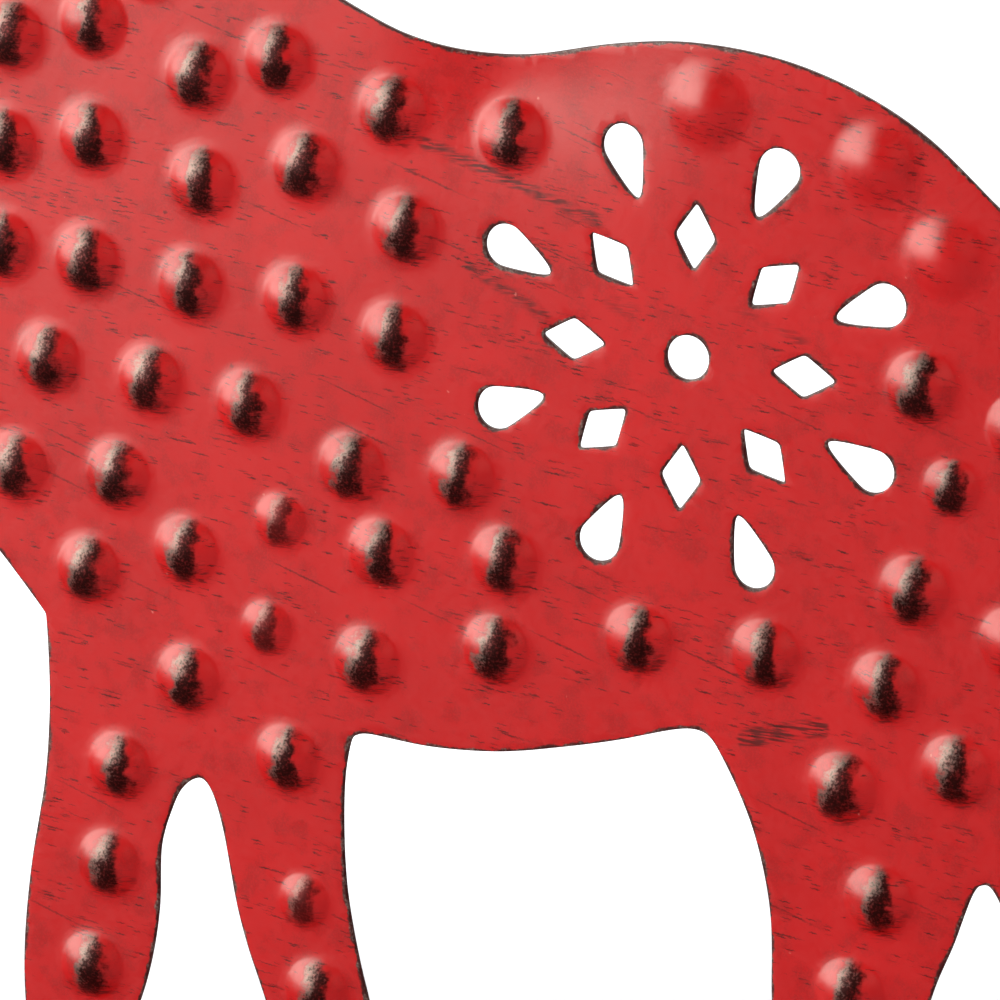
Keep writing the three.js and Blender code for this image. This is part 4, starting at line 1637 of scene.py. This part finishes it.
@dataclass
class Antler(HeadSheet):
    """A palmate antler, riveted to the head by its root plate and bent outward."""

    kind: str = "antler"
    slot: Slot = Slot.ANTLERS
    near_offset: tuple[float, float, float] = (31, 7, 5)
    far_offset: tuple[float, float, float] = (-57, 23, 11)
    thickness: float = 0.8 * MM
    bend: Bend = Bend(7 * MM, 22 * MM, math.radians(34))

    def build(self) -> Object:
        """Builds the antler in place of its CAD node.

        Returns:
            The antler.
        """
        at = (centre_of("antler_rivet_front") + centre_of("antler_rivet_rear")) / 2
        points, triangles = node_mesh(self.node)
        up, out = self.bend.flatten(self.forward(points), points[:, 2] - at.z)
        flat = np.column_stack([points[:, 0] - at.x, up, out])
        blank = survey(flat, triangles, self.thickness, self.thickness)

        def form(across: Points, up: Points, out: Points) -> Points:
            """Bends the blank and puts it on the head."""
            ahead, high = self.bend.form(up, out + self.thickness / 2)
            return np.column_stack([across + at.x, -ahead - self.figure_face, high + at.z])

        piece = SheetPiece(self.node.replace("antler", "palm_antler"), blank, form,
                           far=self.side is Side.FAR, grid=1.5 * MM, spacing=0.36 * MM)
        return piece.build()


@dataclass
class Ear(HeadSheet):
    """A creased leaf of an ear, riveted behind the antler and leaned outward."""

    kind: str = "ear"
    slot: Slot = Slot.EARS
    near_offset: tuple[float, float, float] = (11, 41, 3)
    far_offset: tuple[float, float, float] = (-17, 3, 29)
    thickness: float = 0.6 * MM
    tilt: float = math.radians(50)
    bend: Bend = Bend(4.6 * MM, 6 * MM, math.radians(30))
    crease: Crease = Crease()

    def build(self) -> Object:
        """Builds the ear in place of its CAD node.

        Returns:
            The ear.
        """
        at = centre_of("ear_rivet")
        cos, sin = math.cos(self.tilt), math.sin(self.tilt)
        points, triangles = node_mesh(self.node)
        x, z = points[:, 0] - at.x, points[:, 2] - at.z
        up, out = self.bend.flatten(self.forward(points), x * sin + z * cos)
        across, out = self.crease.flatten(x * cos - z * sin, up, out)
        flat = np.column_stack([across, up, out])
        blank = survey(flat, triangles, self.thickness, self.thickness)

        def form(across: Points, up: Points, out: Points) -> Points:
            """Creases and bends the blank and puts it on the head.

            Args:
                across: places across the blank.
                up: heights on it.
                out: distances in front of its middle.

            Returns:
                The points' places.
            """
            wide, out = self.crease.form(across, up, out + self.thickness / 2)
            ahead, high = self.bend.form(up, out)
            return np.column_stack([
                wide * cos + high * sin + at.x,
                -ahead - self.figure_face,
                high * cos - wide * sin + at.z,
            ])

        # The word near holds "ear" too, so the near ear's piece is named nleaf_ear_leaf_ear.
        piece = SheetPiece(self.node.replace("ear", "leaf_ear"), blank, form,
                           far=self.side is Side.FAR, grid=0.9 * MM, spacing=0.3 * MM)
        return piece.build()


@dataclass
class Rivet:
    """A hammered rivet along Y, with its domed head to the front."""

    node: str
    seed: int
    shank: float = 1.5 * MM
    head: float = 2.7 * MM
    head_height: float = 1.4 * MM
    tail: float = 2.4 * MM
    tail_height: float = 1.0 * MM
    rim: float = 0.97
    tip: float = 0.06
    out_of_round: float = 0.012
    beats: tuple[float, float] = (0.03, 0.02)
    tail_flatness: float = 0.8

    def build(self) -> Object:
        """Builds the rivet in place of its CAD node.

        Returns:
            The rivet.
        """
        low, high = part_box(self.node)
        back, front = -high.y, -low.y
        middle = centre_of(self.node)
        chance = np.random.default_rng(self.seed)
        phase = chance.uniform(0, 2 * math.pi, 3)

        def profile(angle: float) -> Profile:
            """Gives tail, shank and head, a little out of round.

            Args:
                angle: the angle about the axis.

            Returns:
                The profile, from the tail up.
            """
            uneven = 1 + self.out_of_round * math.cos(2 * angle + phase[0]) - self.out_of_round
            three, five = self.beats
            beaten = three * math.cos(3 * angle + phase[1]) + five * math.cos(5 * angle + phase[2])
            points = []
            for t in np.linspace(self.tip, math.pi / 2, 9):
                rise = self.tail_height * (1 - math.cos(t) ** self.tail_flatness * (1 + beaten))
                points.append((self.tail * uneven * math.sin(t), back + max(0.0, rise)))
            tail_end, head_start = back + self.tail_height, front - self.head_height
            points += [(self.tail * self.rim, tail_end), (self.shank, tail_end),
                       (self.shank, head_start), (self.head * self.rim, head_start)]
            for t in np.linspace(math.pi / 2, self.tip, 11):
                drop = self.head_height * (1 - math.cos(t) * (1 + beaten * math.sin(2 * t)))
                points.append((self.head * uneven * math.sin(t), front - max(0.0, drop)))
            return points

        rivet = revolved(self.node.replace("rivet", "pin"), profile, 36)
        x, y, z = points_of(rivet).T
        carry(rivet, np.column_stack([x + middle.x, -z, y + middle.z]))
        return rivet

    def dress(self, rivet: Object) -> None:
        """Gives the rivet its finish."""
        dress(rivet, Iron("hammered_iron").material(), Slot.RIVET, self.node)


def slab(name: str, low: Vector, high: Vector, corner: float, edge: float,
         insets: tuple[float, ...]) -> Object:
    """Builds a flat slab with round corners and a rounded rim.

    Args:
        name: the object's name.
        low: the lowest corner of its box.
        high: the highest corner of its box.
        corner: the radius of its corners as seen from above.
        edge: the radius of its rim.
        insets: how far from the rim the rings on its faces lie.

    Returns:
        The slab.
    """
    middle, size = (low + high) / 2, (high - low) / 2
    quarter = np.linspace(0, math.pi / 2, 15)
    stretch = np.linspace(0.1, 0.9, 9)

    def ring(inset: float, z: float) -> Points:
        """Draws one closed row of points.

        Args:
            inset: how far from the rim the row lies.
            z: its height.

        Returns:
            The points, anticlockwise from above.
        """
        radius = max(corner - inset, TINY)
        half = np.array([size.x - inset, size.y - inset]) - radius
        arcs = []
        for k, (sx, sy) in enumerate([(1, -1), (1, 1), (-1, 1), (-1, -1)]):
            turn = quarter + (k - 1) * math.pi / 2
            arcs.append(half * (sx, sy) + radius * np.stack([np.cos(turn), np.sin(turn)], 1))
        rows = []
        for k, arc in enumerate(arcs):
            to = arcs[(k + 1) % 4][0]
            rows += [arc, arc[-1] + stretch[:, None] * (to - arc[-1])]
        flat = np.vstack(rows) + np.array([middle.x, middle.y])
        return np.column_stack([flat, np.full(len(flat), z)])

    arc = np.linspace(0, math.pi / 2, 6)
    rim = [(edge * (1 - math.cos(t)), low.z + edge * (1 - math.sin(t))) for t in arc[::-1]]
    rim += [(inset, low.z + high.z - z) for inset, z in rim[::-1]]
    levels = [(i, low.z) for i in reversed(insets)] + rim + [(i, high.z) for i in insets]
    rows = [ring(inset, z) for inset, z in levels]
    number = np.arange(len(rows) * len(rows[0])).reshape(len(rows), -1)
    faces = [tuple(int(n) for n in number[0, ::-1]), tuple(int(n) for n in number[-1])]
    for a, b in zip(number, number[1:]):
        faces += belt(a, b)
    return mesh_object(name, np.vstack(rows), faces)


@dataclass
class BasePlate:
    """The flat base, countersunk from below for its four screws."""

    corner: float = 10 * MM
    edge: float = 0.6 * MM
    head: float = 2.9 * MM
    head_rim: float = 0.2 * MM
    head_depth: float = 1.75 * MM
    bore: float = 1.6 * MM
    insets: tuple[float, ...] = (1.2 * MM, 2.2 * MM, 4 * MM, 8 * MM)
    widest_gap: float = 12

    def hole(self, leg: Leg) -> Object:
        """Builds the shape that is cut out for one screw.

        Args:
            leg: the leg that the screw holds.

        Returns:
            The closed shape.
        """
        at, past = centre_of(f"base_screw_{leg.value}"), 1 * MM
        steps = [(self.head, -past), (self.head, self.head_rim), (self.bore, self.head_depth),
                 (self.bore, height_of("base_plate") + past)]
        cutter = revolved("hole", lambda angle: steps, 32)
        carry(cutter, points_of(cutter) + np.array([at.x, at.y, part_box("base_plate")[0].z]))
        return cutter

    def build(self) -> Object:
        """Builds the base in place of its CAD node.

        Returns:
            The base.
        """
        low, high = (Vector(corner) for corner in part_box("base_plate"))
        base = slab("base_board", low, high, self.corner, self.edge, self.insets)
        cut(base, [self.hole(leg) for leg in Leg])
        x, y, _ = points_of(base).T
        middle, size = (low + high) / 2, (high - low) / 2
        over = np.stack([np.abs(x - middle.x) - size.x, np.abs(y - middle.y) - size.y], 1) + self.corner
        beyond, within = np.maximum(over, 0), np.minimum(over.max(axis=1), 0)
        gap = self.corner - np.linalg.norm(beyond, axis=1) - within
        attribute(base, "edge_gap", np.clip(gap / MM, 0, self.widest_gap))
        return base

    def dress(self, base: Object) -> None:
        """Gives the base its finish."""
        finish = WornRed("worn_red_base", (3, 61, 17), light=tone(186, 18, 22),
                         deep=tone(160, 9, 14), strokes=0.4, edge=0.9)
        dress(base, finish.material(), Slot.BASE, "base_plate")


@dataclass
class FeltPad:
    """The felt that is glued under the base."""

    corner: float = 8 * MM
    edge: float = 0.35 * MM
    unevenness: float = 0.12

    def build(self) -> Object:
        """Builds the felt in place of its CAD node, with slightly uneven sides.

        Returns:
            The felt.
        """
        low, high = (Vector(corner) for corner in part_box("base_felt"))
        felt = slab("felt_pad", low, high, self.corner, self.edge, (1 * MM, 3 * MM))
        points = points_of(felt)
        chance = np.random.default_rng(5)
        worn = chance.uniform(-self.unevenness, 0, len(points)) * MM
        out = points[:, :2] / np.linalg.norm(points[:, :2], axis=1)[:, None]
        points[:, :2] += out * worn[:, None]
        carry(felt, points)
        return felt

    def dress(self, felt: Object) -> None:
        """Gives the felt its finish."""
        dress(felt, Felt("black_felt").material(), Slot.FELT, "base_felt")


@dataclass
class Fastener:
    """The countersunk screw, washer and nut that hold one hoof's tab."""

    leg: Leg
    radius: float = 1.5 * MM
    head: float = 2.8 * MM
    head_height: float = 1.65 * MM
    head_rim: float = 0.2 * MM
    broken_edge: float = 0.05 * MM
    plain_neck: float = 0.3 * MM
    plain_end: float = 0.35 * MM
    point: float = 0.4 * MM
    slot: tuple[float, float] = (0.8 * MM, 0.7 * MM)
    pitch: float = 0.5 * MM
    thread: float = 0.27 * MM
    washer: float = 3.5 * MM
    washer_round: float = 0.12 * MM
    washer_edge: float = 0.03 * MM
    bore: float = 1.6 * MM
    flats: float = 5.5 * MM
    blunting: float = 0.995
    chamfer_slope: float = 0.55
    mouth: float = 0.25 * MM
    nut_turns: tuple[float, ...] = (7, -12, 16, -4)

    def node(self, kind: str) -> str:
        """Returns the name of this leg's CAD node of one kind."""
        return f"base_{kind}_{self.leg.value}"

    def place(self, piece: Object, node: str, turn: float) -> Object:
        """Turns a piece about its own axis and puts it where its CAD node stands.

        Args:
            piece: a piece that was built on the Z axis, upward from zero.
            node: the CAD node.
            turn: degrees about the axis.

        Returns:
            The piece.
        """
        x, y, z = points_of(piece).T
        cos, sin = math.cos(math.radians(turn)), math.sin(math.radians(turn))
        at, low = centre_of(node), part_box(node)[0]
        carry(piece, np.column_stack([x * cos - y * sin + at.x, x * sin + y * cos + at.y, z + low.z]))
        return piece

    def build_screw(self) -> Object:
        """Builds the screw, with its slot and its thread.

        Returns:
            The screw.
        """
        node = self.node("screw")
        length = height_of(node)
        start = self.head_height + self.plain_neck
        heights = np.arange(start, length - self.plain_end, self.pitch / 6)

        def profile(angle: float) -> Profile:
            """Gives head, thread and point.

            Args:
                angle: the angle about the axis.

            Returns:
                The profile, from the head up.
            """
            points = [(TINY, 0.0), (self.head - self.broken_edge, 0.0),
                      (self.head, 1.2 * self.broken_edge), (self.head, self.head_rim),
                      (self.radius, self.head_height)]
            for height in heights:
                phase = (height / self.pitch - angle / (2 * math.pi)) % 1
                points.append((self.radius - self.thread * abs(2 * phase - 1), float(height)))
            points += [(self.radius - self.point, length - LEVEL), (TINY, length)]
            return points

        screw = revolved("machine_screw_" + self.leg.value, profile, 28, sharp=60)
        wide, deep = self.slot
        box = np.array([(x, y, z) for x in (-1, 1) for y in (-1, 1) for z in (-1, 1)], float)
        box *= np.array([self.head * 1.5, wide / 2, deep])
        sides = [(0, 1, 3, 2), (4, 6, 7, 5), (0, 4, 5, 1), (2, 3, 7, 6), (0, 2, 6, 4), (1, 5, 7, 3)]
        cut(screw, [mesh_object("slot", box, sides)], 60)
        return self.place(screw, node, 0)

    def build_washer(self) -> Object:
        """Builds the washer, with its punched edge.

        Returns:
            The washer.
        """
        node = self.node("washer")
        top, soft, edge = height_of(node), self.washer_round, self.washer_edge
        rows = [(self.bore + soft, 0.0), (self.washer - edge, 0.0), (self.washer, edge),
                (self.washer, top - soft), (self.washer - soft / 3, top - soft / 3),
                (self.washer - soft, top), (self.bore + soft, top), (self.bore, top - soft),
                (self.bore, soft)]
        washer = revolved("plain_washer_" + self.leg.value, lambda angle: rows, 56, ring=True)
        return self.place(washer, node, 0)

    def build_nut(self) -> Object:
        """Builds the nut, with both faces chamfered.

        Returns:
            The nut.
        """
        node = self.node("nut")
        tall = height_of(node)
        flat = self.flats / 2

        def profile(angle: float) -> Profile:
            """Gives the six-sided outside and the bore.

            Args:
                angle: the angle about the axis.

            Returns:
                The closed profile.
            """
            within = (angle + math.pi / 6) % (math.pi / 3) - math.pi / 6
            corner = flat / math.cos(math.pi / 6) * self.blunting
            side = min(flat / math.cos(math.pi / 6 - abs(within)), corner)
            drop = (side - flat) * self.chamfer_slope + self.broken_edge
            face, wide, mouth = flat - 2 * self.broken_edge, self.bore + self.mouth, self.mouth
            return [(wide, 0.0), (face, 0.0), (side, drop * 0.5), (side, tall - drop),
                    (face, tall), (wide, tall), (self.bore, tall - mouth), (self.bore, mouth)]

        nut = revolved("hexagon_nut_" + self.leg.value, profile, 72, ring=True, sharp=25)
        return self.place(nut, node, dict(zip(Leg, self.nut_turns))[self.leg])

    def build(self) -> list[Object]:
        """Builds the screw, the washer and the nut, in that order."""
        return [self.build_screw(), self.build_washer(), self.build_nut()]

    def dress(self, pieces: list[Object]) -> None:
        """Gives the three their finish."""
        for piece, kind in zip(pieces, ("screw", "washer", "nut")):
            dress(piece, Zinc("zinc_plate").material(), Slot.FASTENER, self.node(kind))


# The studio.


def direction(turn: float, rise: float) -> Vector:
    """Returns the unit step away from the ornament's front.

    Args:
        turn: degrees round the ornament, from its front towards its tail.
        rise: degrees above the level.

    Returns:
        The step.
    """
    turn, rise = math.radians(turn), math.radians(rise)
    level = math.cos(rise)
    return Vector((math.sin(turn) * level, -math.cos(turn) * level, math.sin(rise)))


@dataclass
class Studio:
    """Pale floor, two soft boxes, a fill lamp on the right and the photograph's camera."""

    target: tuple[float, float, float] = (-13.16 * MM, -0.4 * MM, 131.22 * MM)
    azimuth: float = 24.465
    elevation: float = 14.662
    distance: float = 916 * MM
    lens: float = 237.25
    lit: tuple[float, float, float] = (0, 0, 130 * MM)
    lamp_colour: tuple[float, float, float] = (1.0, 0.97, 0.88)
    floor_reach: float = 4.0

    def aim(self, thing: Object, at: Vector, target: Vector) -> None:
        """Puts a lamp or camera somewhere and turns it towards a point."""
        thing.location = at
        thing.rotation_euler = (target - at).to_track_quat("-Z", "Y").to_euler()

    def lamp(self, name: str, turn: float, rise: float, distance: float,
             size: tuple[float, float], glow: float, mirrored: bool = True) -> None:
        """Adds a soft box that faces the ornament.

        Args:
            name: the lamp's name.
            turn: degrees round the ornament, from its front towards its muzzle.
            rise: degrees above the level of its middle.
            distance: metres from its middle.
            size: its width and height, in metres.
            glow: how bright its face is, where white paper in full light is one.
            mirrored: whether glossy surfaces show it.
        """
        data = bpy.data.lights.new(name, "AREA")
        data.shape = "RECTANGLE"
        data.size, data.size_y = size
        data.color = self.lamp_colour
        data.energy = glow * math.pi * size[0] * size[1]
        lamp = bpy.data.objects.new(name, data)
        lamp.visible_glossy = mirrored
        bpy.context.scene.collection.objects.link(lamp)
        middle = Vector(self.lit)
        self.aim(lamp, middle + direction(-turn, rise) * distance, middle)

    def surround(self) -> None:
        """Makes a world that is dim in front and brighter behind, and white to the camera."""
        world = bpy.data.worlds.new("studio")
        bpy.context.scene.world = world
        world.use_nodes = True
        nodes = Nodes(world.node_tree)
        where = nodes.add("TexCoord").outputs["Generated"]
        slope = nodes.add("VectorMath", {0: where, 1: (0, 0.95, 0.3)}, operation="DOT_PRODUCT")
        level = nodes.step(slope.outputs["Value"], 0.3, 0.95, 0.02, 0.6)
        shade = nodes.add("CombineColor", {0: level, 1: level, 2: level}).outputs[0]
        path = nodes.add("LightPath")
        colour = nodes.mix(path.outputs["Is Camera Ray"], shade, (1, 1, 1, 1))
        ground = world.node_tree.nodes["Background"]
        world.node_tree.links.new(colour, ground.inputs["Color"])
        ground.inputs["Strength"].default_value = 1.0

    def floor(self) -> Object:
        """Lays the floor and gives it its finish.

        Returns:
            The floor.
        """
        corners = np.array([(-1, -1, 0), (1, -1, 0), (1, 1, 0), (-1, 1, 0)]) * self.floor_reach
        floor = mesh_object("studio_floor", corners, [(0, 1, 2, 3)])
        floor.data.materials.append(WhiteFloor("white_floor").material())
        return floor

    def camera(self) -> None:
        """Sets up the camera at the photograph's angle."""
        data = bpy.data.cameras.new("camera")
        data.sensor_width = 36
        data.lens = self.lens
        data.clip_start, data.clip_end = 0.05, 40
        camera = bpy.data.objects.new("camera", data)
        bpy.context.scene.collection.objects.link(camera)
        target = Vector(self.target)
        back = direction(self.azimuth, self.elevation)
        self.aim(camera, target + back * self.distance, target)
        bpy.context.scene.camera = camera

    def build(self) -> None:
        """Builds floor, lamps, world and camera."""
        self.floor()
        self.surround()
        self.camera()
        self.lamp("left_soft_box", 57, 16, 1.1, (1.2, 1.0), 4.5)
        self.lamp("right_fill", -44, 24, 1.2, (1.1, 0.8), 2.9, mirrored=False)
        self.lamp("back_soft_box", 165, 40, 1.4, (1.2, 0.8), 1.6)
        bpy.context.scene.view_settings.view_transform = "Standard"
        log.info("studio: floor, three lamps, world and camera")


def main() -> None:
    """Builds the studio and every piece of the ornament."""
    logging.basicConfig(level=logging.INFO, format="%(name)s: %(message)s")
    Studio().build()
    parts = [
        MooseFigure(),
        *[Antler(side) for side in Side],
        *[Ear(side) for side in Side],
        Rivet("antler_rivet_front", 1),
        Rivet("antler_rivet_rear", 2),
        Rivet("ear_rivet", 3),
        BasePlate(),
        FeltPad(),
        *[Fastener(leg) for leg in Leg],
    ]
    for part in parts:
        part.dress(part.build())


if __name__ == "__main__":
    main()
